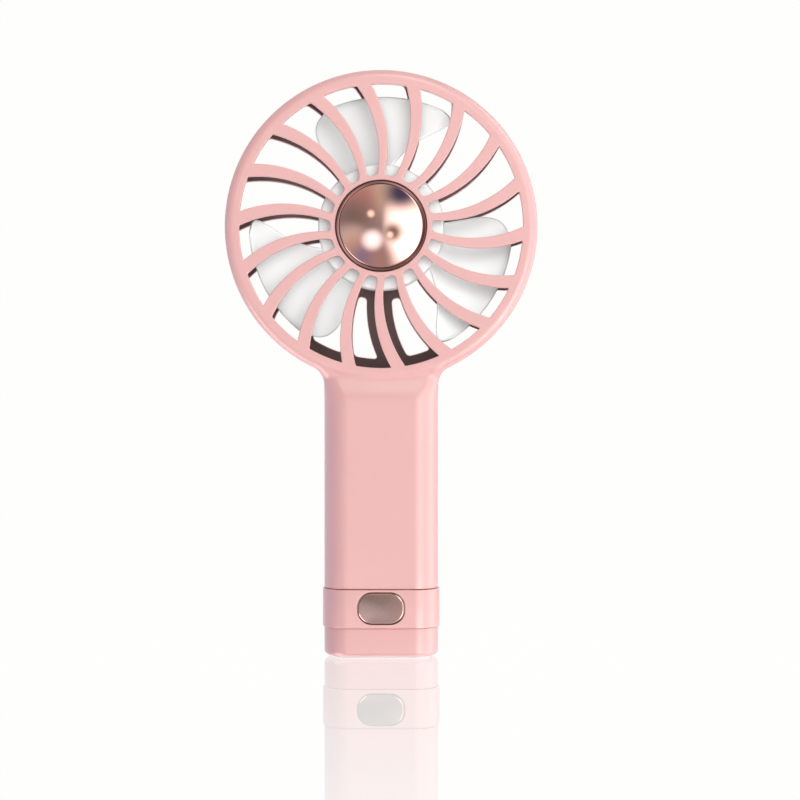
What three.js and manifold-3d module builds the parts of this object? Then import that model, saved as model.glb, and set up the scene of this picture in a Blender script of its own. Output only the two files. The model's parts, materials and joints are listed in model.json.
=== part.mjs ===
// A rechargeable handheld fan: a round head with a spiral grille front and back, a three-blade impeller
// on a small brushed motor, and a flat-fronted handle that holds a round lithium cell. A collar round
// the foot of the handle carries the power button, and the fan stands on the cap below it.
//
// Units are millimetres. +Z is up, the front faces -Y, and the origin is on the table under the handle.
import * as THREE from "three";
import { mergeVertices } from "three/addons/utils/BufferGeometryUtils.js";
import Module from "manifold-3d";

const wasm = await Module();
wasm.setup();

// ---- Driving dimensions ----------------------------------------------------------------------------

const GAP = 0.3; // between pieces that touch
const HALF_GAP = GAP / 2;
const WALL = 2;

const HEAD_RADIUS = 51;
const HEAD_HEIGHT = 140.5; // of the impeller's axis above the table
const HEAD_HALF_DEPTH = 11;
const HEAD_FRONT_EDGE = 3; // rounding of the head's front rim
const HEAD_REAR_EDGE = 2;
const CHAMBER_RADIUS = 48.9; // the space the impeller turns in
const NECK_FILLET = 6; // between the head's circle and the handle's sides

const HANDLE_HALF_WIDTH = 18.7;
const HANDLE_HALF_DEPTH = 13;
const HANDLE_SIDE = 8; // how far in from each side the curved flank reaches
const SEAM_HEIGHT = 22.6; // where the handle meets the collar
const SHOULDER_LOW = 85; // the handle thins from here up to the head
const SHOULDER_HIGH = 92;
const SHOULDER_HALF_DEPTH = 10.98; // a hair under the head's own faces

const COLLAR_BOTTOM = 9.8;
const COLLAR_PROUD = 0.5; // the collar stands proud of the handle by this
const COLLAR_WALL = 2;
const TENON_HALF_WIDTH = 16.9; // the reduced foot of the two shells, inside the collar and the cap
const TENON_HALF_DEPTH = 11.2;
const TENON_WALL = 1.5;
const TENON_BOTTOM = 4;
const CAP_BOTTOM = 0.4; // the pad under the cap stands out by this
const CAP_FLOOR = 3.4;

const RIB_COUNT = 18;
const RIB_PITCH = (2 * Math.PI) / RIB_COUNT;
const RIB_ARC = { x: -27.96, z: 36.28, radius: 39.4 }; // centreline of the rib nearest the top
const RIB_WIDTH_AT_HUB = 2.47;
const RIB_WIDTH_GROWTH = 0.0775; // mm of width per mm of radius
const RIB_HUB_RADIUS = 18.85;
const FRONT_SLOT = { inner: 16.5, outer: 46.2, innerRound: 1.5, outerRound: 0 };
const REAR_SLOT = { inner: 19, outer: 48.5, innerRound: 1.4, outerRound: 1.4 };
const SPOKE_SLOT_INNER = 23.4;
const NECK_SLOT_OUTER = 42.9;
const FRONT_RIB_DEPTH = 2.4;
const REAR_RIB_DEPTH = 3;
const SPOKE = 8; // the rear rib that carries the motor's wires down to the handle
const SPOKE_EXTRA = 2.8; // added to each side of that rib
const SPOKE_DEPTH = 5;
const WIRE_CHANNEL = { width: 3.4, depth: 2.4 };

const DOME_RADIUS = 14.6;
const DOME_SEAT_RADIUS = 14.95;
const DOME_SEAT_DEPTH = 1.5;
const DOME_HEIGHT = 3.8; // above the grille's face
const DOME_WALL = 1;

const IMPELLER_HUB_RADIUS = 20.7;
const IMPELLER_FRONT = -5;
const IMPELLER_BACK = 4.6;
const BLADE_COUNT = 3;
const BLADE_TIP_RADIUS = 43.4;
const BLADE_THICKNESS = 0.9;

const MOTOR_RADIUS = 12.2;
const MOTOR_FRONT = 0.5;
const MOTOR_BACK = 9;
const SHAFT_RADIUS = 1;
const BRACKET_SCREW_X = 15.6;

const CELL_RADIUS = 9.15;
const CELL_BOTTOM = 24.5;
const CELL_LENGTH = 64.6;
const CELL_ROOM_TOP = 90.5;
const LEAD_RADIUS = 0.55;

const BUTTON = { width: 15.1, height: 10, height_above_table: 16.3, face: -14, travel: 0.5 };
const BOARD_BOTTOM = 12.1;
const BOARD_THICKNESS = 1.2;
const BOARD_TOP = BOARD_BOTTOM + BOARD_THICKNESS;
const USB_HEIGHT = 15;
const LED_X = 8.5;
const SHELL_SCREW_X = 12.1;
const SHELL_SCREW_HEIGHTS = [32, 83];
const SHELL_BOSS_RADIUS = 2.5;
const CAP_SCREW = { x: 13.4, y: 2.9, seat: 2.7 };

// ---- Materials -------------------------------------------------------------------------------------

const material = (color, roughness, metalness = 0) =>
  new THREE.MeshStandardMaterial({ color, roughness, metalness });
const pink = material(0xf2bfbc, 0.45);
const whitePlastic = material(0xeceeec, 0.5);
const roseMetal = material(0xc9988c, 0.18, 1);
const rubber = material(0xf4f0ef, 0.8);
const steel = material(0xb9bcc0, 0.3, 1);
const zinc = material(0xa8abb0, 0.4, 1);
const copper = material(0xb87345, 0.35, 1);
const bronze = material(0xa9814f, 0.45, 1);
const ferrite = material(0x3a3a3d, 0.8);
const blackPlastic = material(0x1f2022, 0.6);
const cellWrap = material(0x3f78b5, 0.4);
const paper = material(0xe6e2d6, 0.95);
const nickel = material(0xc9c8c2, 0.35, 1);
const boardGreen = material(0x1f6b45, 0.5);
const redWire = material(0xc4302b, 0.5);
const blackWire = material(0x202022, 0.5);
const foam = material(0x2c2c2e, 1);
const clearLens = material(0xf3f1ec, 0.2);

// ---- Solids ----------------------------------------------------------------------------------------

// A closed geometry as a manifold solid, turned the right way out.
function solid(geometry) {
  const bare = geometry.index ? geometry.toNonIndexed() : geometry.clone();
  const shell = new THREE.BufferGeometry();
  shell.setAttribute("position", bare.getAttribute("position"));
  const merged = mergeVertices(shell, 1e-4);
  const triVerts = new Uint32Array(merged.index.array);
  const vertProperties = merged.attributes.position.array;
  const made = new wasm.Manifold(new wasm.Mesh({ numProp: 3, vertProperties, triVerts }));
  if (made.volume() > 0) return made;
  for (let i = 0; i < triVerts.length; i += 3)
    [triVerts[i + 1], triVerts[i + 2]] = [triVerts[i + 2], triVerts[i + 1]];
  return new wasm.Manifold(new wasm.Mesh({ numProp: 3, vertProperties, triVerts }));
}

// A manifold solid back as a three.js geometry.
function geometryOf(made) {
  const { vertProperties, triVerts } = made.getMesh();
  const geometry = new THREE.BufferGeometry();
  geometry.setAttribute("position", new THREE.BufferAttribute(vertProperties, 3));
  geometry.setIndex(new THREE.BufferAttribute(triVerts, 1));
  geometry.computeVertexNormals();
  return geometry;
}

const joined = (solids) => solids.reduce((all, one) => all.add(one));

// An (x, y) outline drawn up from z = low to z = high.
function extrudeUp(shape, low, high, curveSegments = 6) {
  const options = { depth: high - low, bevelEnabled: false, curveSegments };
  return solid(new THREE.ExtrudeGeometry(shape, options).translate(0, 0, low));
}

// An (x, z) outline drawn back from y = front to y = back.
function extrudeBack(shape, front, back, curveSegments = 6) {
  const options = { depth: back - front, bevelEnabled: false, curveSegments };
  const geometry = new THREE.ExtrudeGeometry(shape, options);
  return solid(geometry.rotateX(Math.PI / 2).translate(0, back, 0));
}

function box(x0, x1, y0, y1, z0, z1) {
  const geometry = new THREE.BoxGeometry(x1 - x0, y1 - y0, z1 - z0);
  return solid(geometry.translate((x0 + x1) / 2, (y0 + y1) / 2, (z0 + z1) / 2));
}

// Profile points are [radius, distance along the axis].
function turned(profile, segments) {
  const points = profile.map(([radius, along]) => new THREE.Vector2(radius, along));
  return new THREE.LatheGeometry(points, segments);
}

// Turned about a line along Y through (x, z).
const turnedAlongY = (profile, x = 0, z = HEAD_HEIGHT, segments = 32) =>
  solid(turned(profile, segments).translate(x, 0, z));

// Turned about a line along Z through (x, y).
const turnedAlongZ = (profile, x = 0, y = 0, segments = 32) =>
  solid(turned(profile, segments).rotateX(Math.PI / 2).translate(x, y, 0));

const rod = (radius, from, to) => [[0, from], [radius, from], [radius, to], [0, to]];
const tubeWall = (inner, outer, from, to) => [
  [inner, from], [outer, from], [outer, to], [inner, to], [inner, from],
];
const pinY = (radius, front, back, x, z, segments = 12) =>
  turnedAlongY(rod(radius, front, back), x, z, segments);
const pinZ = (radius, low, high, x, y, segments = 12) =>
  turnedAlongZ(rod(radius, low, high), x, y, segments);

// A round lead along a smooth curve through the points.
function lead(points, steps) {
  const round = new THREE.Shape().absarc(0, 0, LEAD_RADIUS, 0, 2 * Math.PI);
  const stops = points.map(([x, y, z]) => new THREE.Vector3(x, y, z));
  const path = new THREE.CatmullRomCurve3(stops, false, "centripetal");
  return solid(new THREE.ExtrudeGeometry(round, { steps, extrudePath: path, curveSegments: 3 }));
}

// ---- Outlines --------------------------------------------------------------------------------------

// The handle's section: flat front and back, with quarter-ellipse flanks meeting at the sides.
function section(halfWidth, halfDepth, side) {
  const flat = halfWidth - side;
  const shape = new THREE.Shape();
  shape.moveTo(flat, -halfDepth);
  shape.absellipse(flat, 0, side, halfDepth, -Math.PI / 2, Math.PI / 2);
  shape.lineTo(-flat, halfDepth);
  shape.absellipse(-flat, 0, side, halfDepth, Math.PI / 2, (3 * Math.PI) / 2);
  return shape;
}

const handleSection = (inset) =>
  section(HANDLE_HALF_WIDTH - inset, HANDLE_HALF_DEPTH - inset, HANDLE_SIDE - inset);
const collarSection = (inset) => handleSection(inset - COLLAR_PROUD);
const tenonSection = (inset) =>
  section(TENON_HALF_WIDTH - inset, TENON_HALF_DEPTH - inset, HANDLE_SIDE - 1 - inset / 2);

// A rectangle with round corners, centred on (x, y).
function roundedRectangle(width, height, radius, x = 0, y = 0) {
  const [right, top] = [x + width / 2, y + height / 2];
  const [left, bottom] = [x - width / 2, y - height / 2];
  const shape = new THREE.Shape();
  shape.moveTo(left + radius, bottom);
  shape.absarc(right - radius, bottom + radius, radius, -Math.PI / 2, 0);
  shape.absarc(right - radius, top - radius, radius, 0, Math.PI / 2);
  shape.absarc(left + radius, top - radius, radius, Math.PI / 2, Math.PI);
  shape.absarc(left + radius, bottom + radius, radius, Math.PI, 1.5 * Math.PI);
  return shape;
}

const BUTTON_CORNER = 4.6;
const buttonOutline = (grow) =>
  roundedRectangle(
    BUTTON.width + 2 * grow,
    BUTTON.height + 2 * grow,
    BUTTON_CORNER + grow,
    0,
    BUTTON.height_above_table,
  );

// A point of the head's plane. Angles turn clockwise from the top, seen from the front.
const headPoint = (radius, angle) =>
  new THREE.Vector2(radius * Math.sin(angle), HEAD_HEIGHT + radius * Math.cos(angle));

// Where rib number k crosses a circle round the impeller's axis: its centreline is one circular arc.
function ribAngle(radius, k) {
  const reach = Math.hypot(RIB_ARC.x, RIB_ARC.z);
  const cosine = (radius ** 2 + reach ** 2 - RIB_ARC.radius ** 2) / (2 * radius * reach);
  return Math.atan2(RIB_ARC.x, RIB_ARC.z) + Math.acos(cosine) + k * RIB_PITCH;
}

const ribHalfAngle = (radius, extra = 0) =>
  ((RIB_WIDTH_AT_HUB + RIB_WIDTH_GROWTH * (radius - RIB_HUB_RADIUS)) / 2 + extra) / radius;

// The slot between ribs k and k + 1. Each edge follows its rib, and the ends have round corners.
function slotShape(k, { inner, outer, innerRound, outerRound }, startExtra = 0, endExtra = 0) {
  const STEPS = 4;
  const start = (radius) =>
    headPoint(radius, ribAngle(radius, k) + ribHalfAngle(radius, startExtra));
  const end = (radius) =>
    headPoint(radius, ribAngle(radius, k + 1) - ribHalfAngle(radius, endExtra));
  const middle = (radius) => start(radius).lerp(end(radius), 0.5);
  const radii = Array.from({ length: STEPS + 1 }, (_, i) =>
    THREE.MathUtils.lerp(inner + innerRound, outer - outerRound, i / STEPS),
  );
  const shape = new THREE.Shape();
  const bend = (corner, to) => shape.quadraticCurveTo(corner.x, corner.y, to.x, to.y);
  shape.moveTo(start(radii[0]).x, start(radii[0]).y);
  radii.slice(1).forEach((radius) => shape.lineTo(start(radius).x, start(radius).y));
  if (outerRound) {
    bend(start(outer), middle(outer));
    bend(end(outer), end(outer - outerRound));
  } else {
    const outerMiddle = headPoint(outer, (ribAngle(outer, k) + ribAngle(outer, k + 1)) / 2);
    shape.lineTo(outerMiddle.x, outerMiddle.y);
    shape.lineTo(end(outer).x, end(outer).y);
  }
  radii.slice(0, -1).reverse().forEach((radius) => shape.lineTo(end(radius).x, end(radius).y));
  bend(end(inner), middle(inner));
  bend(start(inner), start(inner + innerRound));
  return shape;
}

// ---- The housing's outer and inner forms -----------------------------------------------------------

// A solid through level sections, from the lowest to the highest.
function loft(levels) {
  const rings = levels.map(({ z, halfWidth, halfDepth, side }) =>
    section(halfWidth, halfDepth, side).getPoints(5).map(({ x, y }) => [x, y, z]),
  );
  const size = rings[0].length;
  const positions = rings.flat(2);
  const index = [];
  for (let level = 0; level + 1 < rings.length; level += 1)
    for (let i = 0; i < size; i += 1) {
      const [a, b] = [level * size + i, level * size + ((i + 1) % size)];
      index.push(a, b, b + size, a, b + size, a + size);
    }
  const last = (rings.length - 1) * size;
  for (let i = 1; i + 1 < size; i += 1) index.push(0, i + 1, i, last, last + i, last + i + 1);
  const geometry = new THREE.BufferGeometry();
  geometry.setAttribute("position", new THREE.Float32BufferAttribute(positions, 3));
  geometry.setIndex(index);
  return solid(geometry);
}

// The handle from its foot into the head. It flares along the neck fillet and thins at the shoulder.
function handleForm(inset, bottom, top) {
  const filletX = HANDLE_HALF_WIDTH + NECK_FILLET;
  const filletZ = HEAD_HEIGHT - Math.sqrt((HEAD_RADIUS + NECK_FILLET) ** 2 - filletX ** 2);
  const filletTop = HEAD_HEIGHT + ((filletZ - HEAD_HEIGHT) * HEAD_RADIUS) / (HEAD_RADIUS + NECK_FILLET);
  const halfWidth = (z) => {
    const rise = THREE.MathUtils.clamp(z, filletZ, filletTop) - filletZ;
    return filletX - Math.sqrt(NECK_FILLET ** 2 - rise ** 2);
  };
  const halfDepth = (z) =>
    THREE.MathUtils.lerp(
      HANDLE_HALF_DEPTH,
      SHOULDER_HALF_DEPTH,
      THREE.MathUtils.smoothstep(z, SHOULDER_LOW, SHOULDER_HIGH),
    );
  const between = [SHOULDER_LOW, 87, 88.5, 90, 91, SHOULDER_HIGH, 93, 94, filletTop];
  const heights = [bottom, ...between.filter((z) => z > bottom && z < top), top];
  return loft(
    heights.map((z) => ({
      z,
      halfWidth: (inset ? HANDLE_HALF_WIDTH : halfWidth(z)) - inset,
      halfDepth: halfDepth(z) - inset,
      side: HANDLE_SIDE - inset,
    })),
  );
}

const arcPoints = (centreR, centreY, radius, from, to, steps) =>
  Array.from({ length: steps + 1 }, (_, i) => {
    const angle = THREE.MathUtils.lerp(from, to, i / steps);
    return [centreR + radius * Math.cos(angle), centreY + radius * Math.sin(angle)];
  });

function headForm() {
  const rim = (edge, side, from, to) =>
    arcPoints(HEAD_RADIUS - edge, side * (HEAD_HALF_DEPTH - edge), edge, from, to, 3);
  const profile = [
    [0, -HEAD_HALF_DEPTH],
    ...rim(HEAD_FRONT_EDGE, -1, -Math.PI / 2, 0),
    ...rim(HEAD_REAR_EDGE, 1, 0, Math.PI / 2),
    [0, HEAD_HALF_DEPTH],
  ];
  return turnedAlongY(profile, 0, HEAD_HEIGHT, 64);
}

const NECK_TOP = HEAD_HEIGHT - 44; // the handle's form ends here, inside the head's
const TENON_ROOT = 4; // how far the tenon's form runs up inside the handle's
const HANDLE_ROOM_BOTTOM = SEAM_HEIGHT + 1.4;
const housingOutside = joined([
  headForm(),
  handleForm(0, SEAM_HEIGHT, NECK_TOP),
  extrudeUp(tenonSection(0), TENON_BOTTOM, SEAM_HEIGHT + TENON_ROOT),
]);
const CHAMBER_FRONT = FRONT_RIB_DEPTH - HEAD_HALF_DEPTH;
const CHAMBER_BACK = HEAD_HALF_DEPTH - REAR_RIB_DEPTH;
const housingInside = joined([
  pinY(CHAMBER_RADIUS, CHAMBER_FRONT, CHAMBER_BACK, 0, HEAD_HEIGHT, 48),
  handleForm(WALL, HANDLE_ROOM_BOTTOM, CELL_ROOM_TOP),
  extrudeUp(tenonSection(TENON_WALL), TENON_BOTTOM - 1, SEAM_HEIGHT + 2),
]);
const housingWall = housingOutside.subtract(housingInside);
const EVERYTHING = 200;
const frontHalf = box(-EVERYTHING, EVERYTHING, -EVERYTHING, -HALF_GAP, -EVERYTHING, EVERYTHING);
const rearHalf = box(-EVERYTHING, EVERYTHING, HALF_GAP, EVERYTHING, -EVERYTHING, EVERYTHING);
const shellScrewPlaces = SHELL_SCREW_HEIGHTS.flatMap((z) => [
  [-SHELL_SCREW_X, z],
  [SHELL_SCREW_X, z],
]);

// ---- Shells ----------------------------------------------------------------------------------------

const CRADLE = { heights: [42, 72], thickness: 1.2 };
const LEAD_PASS = { halfWidth: 11, front: 6 }; // behind the cell
const BURIAL = 0.3; // how far an inner rib is drawn into the wall it grows from

// The shelf under the cell, and the ribs that cradle it. Leads pass behind them.
function cellSupports() {
  const room = pinZ(CELL_RADIUS + GAP, HANDLE_ROOM_BOTTOM, CELL_ROOM_TOP, 0, 0, 32);
  const { halfWidth, front } = LEAD_PASS;
  const leadPass = box(-halfWidth, halfWidth, front, EVERYTHING, SEAM_HEIGHT - 1, CELL_ROOM_TOP);
  const shelf = extrudeUp(tenonSection(TENON_WALL - BURIAL), SEAM_HEIGHT, HANDLE_ROOM_BOTTOM);
  const ribs = CRADLE.heights.map((z) =>
    extrudeUp(handleSection(WALL - BURIAL), z, z + CRADLE.thickness).subtract(room),
  );
  return joined([shelf, ...ribs]).subtract(leadPass);
}

const DOME_POST = { radius: 2, x: 8 };
const BOSS_BURIAL = 1.4; // a boss ends this far under the handle's face, inside its wall
const SHELL_PILOT = { radius: 1.05, front: -8.6 };
const BUTTON_NOTCH_HALF_WIDTH = 8.7;

function frontShell() {
  const slots = Array.from({ length: RIB_COUNT }, (_, k) =>
    extrudeBack(slotShape(k, FRONT_SLOT), -HEAD_HALF_DEPTH - 1, CHAMBER_FRONT + 1, 2),
  );
  const seatFloor = DOME_SEAT_DEPTH - HEAD_HALF_DEPTH;
  const domeSeat = pinY(DOME_SEAT_RADIUS, -EVERYTHING, seatFloor, 0, HEAD_HEIGHT, 36);
  const domePostHoles = [-DOME_POST.x, DOME_POST.x].map((x) =>
    pinY(DOME_POST.radius + 0.1, -EVERYTHING, CHAMBER_FRONT + 1, x, HEAD_HEIGHT),
  );
  const notch = BUTTON_NOTCH_HALF_WIDTH;
  const buttonNotch = box(-notch, notch, -EVERYTHING, -TENON_HALF_DEPTH / 2, 0, SEAM_HEIGHT - 0.5);
  const bosses = shellScrewPlaces.map(([x, z]) =>
    pinY(SHELL_BOSS_RADIUS, BOSS_BURIAL - HANDLE_HALF_DEPTH, -HALF_GAP, x, z),
  );
  const pilots = shellScrewPlaces.map(([x, z]) => 
    pinY(SHELL_PILOT.radius, SHELL_PILOT.front, 1, x, z),
  );
  return joined([housingWall.add(cellSupports()).intersect(frontHalf), ...bosses])
    .subtract(joined([...slots, domeSeat, ...domePostHoles]))
    .subtract(joined([buttonNotch, ...pilots]));
}

const MOTOR_RING = { inner: MOTOR_RADIUS + GAP, outer: MOTOR_RADIUS + GAP + 1.2, front: 3.4 };
const WIRE_HOLE = { left: 3.2, right: 9.4, front: 5.6, back: 9.4, bottom: 88, top: 95 };
const USB = { halfWidth: 4.47, halfHeight: 1.63, front: 5.4, back: 12.7 };
const COUNTERBORE = { radius: 2.2, seat: 8.4 };
const SPOKE_START = 12.6;

const usbOpening = (grow) =>
  roundedRectangle(2 * (USB.halfWidth + grow), 2 * (USB.halfHeight + grow), 1.7, 0, USB_HEIGHT);

// The wide rib behind the others, drawn a little past the two circles that it joins.
function spokeShape(inner, outer, halfWidthOf) {
  const STEPS = 8;
  const radii = Array.from({ length: STEPS + 1 }, (_, i) =>
    THREE.MathUtils.lerp(inner, outer, i / STEPS),
  );
  const side = (sign) =>
    radii.map((r) => headPoint(r, ribAngle(r, SPOKE) + (sign * halfWidthOf(r)) / r));
  return new THREE.Shape([...side(-1), ...side(1).reverse()]);
}

// The two slots beside the spoke start further out, and the three over the neck end sooner.
function rearSlot(k) {
  const besideSpoke = k === SPOKE - 1 || k === SPOKE;
  const overNeck = besideSpoke || k === SPOKE + 1;
  const size = {
    ...REAR_SLOT,
    inner: besideSpoke ? SPOKE_SLOT_INNER : REAR_SLOT.inner,
    outer: overNeck ? NECK_SLOT_OUTER : REAR_SLOT.outer,
  };
  return slotShape(k, size, k === SPOKE ? SPOKE_EXTRA : 0, k === SPOKE - 1 ? SPOKE_EXTRA : 0);
}

function rearShell() {
  const slots = Array.from({ length: RIB_COUNT }, (_, k) =>
    extrudeBack(rearSlot(k), CHAMBER_BACK - 3, HEAD_HALF_DEPTH + 1, 2),
  );
  const spoke = extrudeBack(
    spokeShape(SPOKE_START, CHAMBER_RADIUS + 0.5, (r) => ribHalfAngle(r, SPOKE_EXTRA) * r),
    HEAD_HALF_DEPTH - SPOKE_DEPTH, CHAMBER_BACK + 1,
  );
  const channel = extrudeBack(
    spokeShape(SPOKE_START + BURIAL, CHAMBER_RADIUS + 4, () => WIRE_CHANNEL.width / 2),
    HEAD_HALF_DEPTH - SPOKE_DEPTH - 1, HEAD_HALF_DEPTH - SPOKE_DEPTH + WIRE_CHANNEL.depth,
  );
  const hub = pinY(REAR_SLOT.inner + 0.4, CHAMBER_BACK + 1.2, HEAD_HALF_DEPTH, 0, HEAD_HEIGHT, 36);
  const motorRing = turnedAlongY(
    tubeWall(MOTOR_RING.inner, MOTOR_RING.outer, MOTOR_RING.front, CHAMBER_BACK + 1.4),
  );
  const bracketBosses = [-BRACKET_SCREW_X, BRACKET_SCREW_X].map((x) =>
    pinY(2.2, MOTOR_FRONT + 0.2, CHAMBER_BACK + 1.4, x, HEAD_HEIGHT),
  );
  const bracketPilots = [-BRACKET_SCREW_X, BRACKET_SCREW_X].map((x) =>
    pinY(0.9, 0, CHAMBER_BACK, x, HEAD_HEIGHT),
  );
  const bosses = shellScrewPlaces.map(([x, z]) =>
    pinY(SHELL_BOSS_RADIUS, HALF_GAP, HANDLE_HALF_DEPTH - BOSS_BURIAL, x, z),
  );
  const screwHoles = shellScrewPlaces.map(([x, z]) => pinY(1.25, -1, EVERYTHING, x, z, 10));
  const counterbores = shellScrewPlaces.map(([x, z]) =>
    pinY(COUNTERBORE.radius, COUNTERBORE.seat, EVERYTHING, x, z),
  );
  const capBosses = [-CAP_SCREW.x, CAP_SCREW.x].map((x) =>
    pinZ(2.3, TENON_BOTTOM - 0.2, BOARD_BOTTOM - GAP, x, CAP_SCREW.y),
  );
  const capPilots = [-CAP_SCREW.x, CAP_SCREW.x].map((x) => pinZ(1, 0, 10, x, CAP_SCREW.y, 12));
  const motorRoom = pinY(MOTOR_RING.inner, MOTOR_FRONT, MOTOR_BACK + 0.2, 0, HEAD_HEIGHT, 32);
  const { left, right, front, back, bottom, top } = WIRE_HOLE;
  const wireHole = box(left, right, front, back, bottom, top);
  const usbHole = extrudeBack(usbOpening(0.4), 8, EVERYTHING, 3);
  const ledHole = pinY(1.35, 8, EVERYTHING, LED_X, USB_HEIGHT);
  return housingWall
    .add(cellSupports())
    .intersect(rearHalf)
    .subtract(joined(slots))
    .add(joined([spoke, hub, motorRing, ...bracketBosses, ...bosses, ...capBosses]))
    .subtract(joined([channel, motorRoom, wireHole, usbHole, ledHole]))
    .subtract(joined([...bracketPilots, ...screwHoles, ...counterbores, ...capPilots]));
}

// A metallised dome with a thin rim that sits in the grille's hub, held by two posts.
function domeCap() {
  const seat = DOME_SEAT_DEPTH - HEAD_HALF_DEPTH - 0.2;
  const rimTop = -HEAD_HALF_DEPTH - 0.5;
  const crownFoot = -HEAD_HALF_DEPTH - 0.3;
  const rise = DOME_HEIGHT - 0.3;
  const crown = (foot, top, steps) => {
    const sphere = (foot ** 2 + top ** 2) / (2 * top);
    return Array.from({ length: steps + 1 }, (_, i) => {
      const radius = foot * (1 - i / steps);
      return [radius, crownFoot - (Math.sqrt(sphere ** 2 - radius ** 2) - (sphere - top))];
    });
  };
  const cap = turnedAlongY(
    [
      ...crown(DOME_RADIUS - 1.7, rise - DOME_WALL, 3).reverse(),
      [DOME_RADIUS - 1.7, seat],
      [DOME_RADIUS, seat],
      [DOME_RADIUS, rimTop],
      ...crown(DOME_RADIUS - 0.7, rise, 6),
    ],
    0, HEAD_HEIGHT, 36,
  );
  const posts = [-DOME_POST.x, DOME_POST.x].map((x) =>
    pinY(DOME_POST.radius - 0.2, crownFoot - 1.6, CHAMBER_FRONT + 0.6, x, HEAD_HEIGHT),
  );
  return joined([cap, ...posts]);
}

function collar() {
  const openings = [
    extrudeBack(buttonOutline(0.25), -EVERYTHING, 0, 4),
    extrudeBack(usbOpening(0.3), 0, EVERYTHING, 3),
    pinY(1.3, 0, EVERYTHING, LED_X, USB_HEIGHT),
  ];
  return extrudeUp(collarSection(0), COLLAR_BOTTOM, SEAM_HEIGHT - GAP)
    .subtract(extrudeUp(collarSection(COLLAR_WALL), 0, 60))
    .subtract(joined(openings));
}

const PAD_TOP = 1.5;

function bottomCap() {
  const room = extrudeUp(tenonSection(-0.2), CAP_FLOOR, 60);
  const padRecess = extrudeUp(handleSection(2.3), -1, PAD_TOP + 0.2);
  const screwHoles = [-CAP_SCREW.x, CAP_SCREW.x].map((x) => pinZ(1.25, -1, 20, x, CAP_SCREW.y, 10));
  const headRooms = [-CAP_SCREW.x, CAP_SCREW.x].map((x) =>
    pinZ(2.2, -1, CAP_SCREW.seat, x, CAP_SCREW.y),
  );
  const EDGE = 1.2;
  const level = (z, inset) => ({
    z,
    halfWidth: HANDLE_HALF_WIDTH - inset,
    halfDepth: HANDLE_HALF_DEPTH - inset,
    side: HANDLE_SIDE - inset,
  });
  const foot = loft([
    level(CAP_BOTTOM, EDGE),
    level(CAP_BOTTOM + 0.3 * EDGE, 0.3 * EDGE),
    level(CAP_BOTTOM + EDGE, 0),
    level(COLLAR_BOTTOM - GAP, 0),
  ]);
  return foot.subtract(joined([room, padRecess, ...screwHoles, ...headRooms]));
}

const footPad = () => extrudeUp(handleSection(2.5), 0, PAD_TOP);

// ---- Button and switch -----------------------------------------------------------------------------

const BUTTON_FLANGE = { front: -11.3, back: -10.6 };
const SWITCH = { halfWidth: 3.2, front: -9, back: -5.6, bottom: BOARD_TOP + 0.1, top: 19.4 };
const PLUNGER_RADIUS = 1.6;

function powerButton() {
  const EDGE = 0.35;
  return joined([
    extrudeBack(buttonOutline(-EDGE), BUTTON.face, BUTTON.face + 1, 4),
    extrudeBack(buttonOutline(0), BUTTON.face + EDGE, BUTTON_FLANGE.back, 4),
    extrudeBack(buttonOutline(0.5), BUTTON_FLANGE.front, BUTTON_FLANGE.back, 4),
  ]);
}

const plunger = () => pinY(PLUNGER_RADIUS, -10.3, SWITCH.front + 0.3, 0, BUTTON.height_above_table, 16);

function switchBody() {
  const { halfWidth, front, back, bottom, top } = SWITCH;
  const well = pinY(PLUNGER_RADIUS + 0.15, front - 1, front + 1.2, 0, BUTTON.height_above_table, 16);
  return box(-halfWidth, halfWidth, front, back, bottom, top).subtract(well);
}

// ---- Board and charging port -----------------------------------------------------------------------

const board = () => extrudeUp(tenonSection(TENON_WALL + 0.4), BOARD_BOTTOM, BOARD_TOP);

const USB_CORNER = 1.55;
const USB_BACK_WALL = 1.4;

function usbOutline(inset) {
  const [width, height] = [2 * (USB.halfWidth - inset), 2 * (USB.halfHeight - inset)];
  return roundedRectangle(width, height, USB_CORNER - inset, 0, USB_HEIGHT);
}

function usbShell() {
  const mouth = extrudeBack(usbOutline(0.3), USB.front + USB_BACK_WALL, USB.back + 1, 3);
  return extrudeBack(usbOutline(0), USB.front, USB.back, 3).subtract(mouth);
}

function usbTongue() {
  const [halfWidth, halfHeight] = [3.3, 0.35];
  const [front, back] = [USB.front + USB_BACK_WALL + 0.1, USB.back - 0.9];
  return box(-halfWidth, halfWidth, front, back, USB_HEIGHT - halfHeight, USB_HEIGHT + halfHeight);
}


const PART_FOOT = BOARD_TOP + 0.1;
const onBoard = (x0, x1, y0, y1, height) => box(x0, x1, y0, y1, PART_FOOT, PART_FOOT + height);
const ledLens = () => pinY(1, 9.4, HANDLE_HALF_DEPTH + COLLAR_PROUD, LED_X, USB_HEIGHT, 12);

// ---- Impeller --------------------------------------------------------------------------------------

// One edge of a blade in the head's plane, smooth through [radius, degrees clockwise from the top] pairs.
const bladeEdge = (pairs) =>
  new THREE.CatmullRomCurve3(
    pairs.map(([radius, degrees]) => {
      const angle = THREE.MathUtils.degToRad(degrees);
      return new THREE.Vector3(radius * Math.sin(angle), 0, radius * Math.cos(angle));
    }),
    false,
    "centripetal",
  );
const LEADING_EDGE = bladeEdge([
  [20.2, -35.5], [27, -36.4], [33, -36.8], [38, -34.8], [41.4, -30.5], [43.3, -23],
]);
const TRAILING_EDGE = bladeEdge([
  [20.2, 9.5], [26, 17.6], [31.5, 24.4], [36.5, 30.8], [40.5, 33.4], [43.2, 28.5],
]);
const BLADE_LEADING_Y = 4;
const BLADE_TRAILING_Y = -4.1;
const BLADE_CAMBER = 0.9;
const BLADE_FLATTENING = 0.22; // share of its pitch that a blade loses from hub to tip

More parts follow.
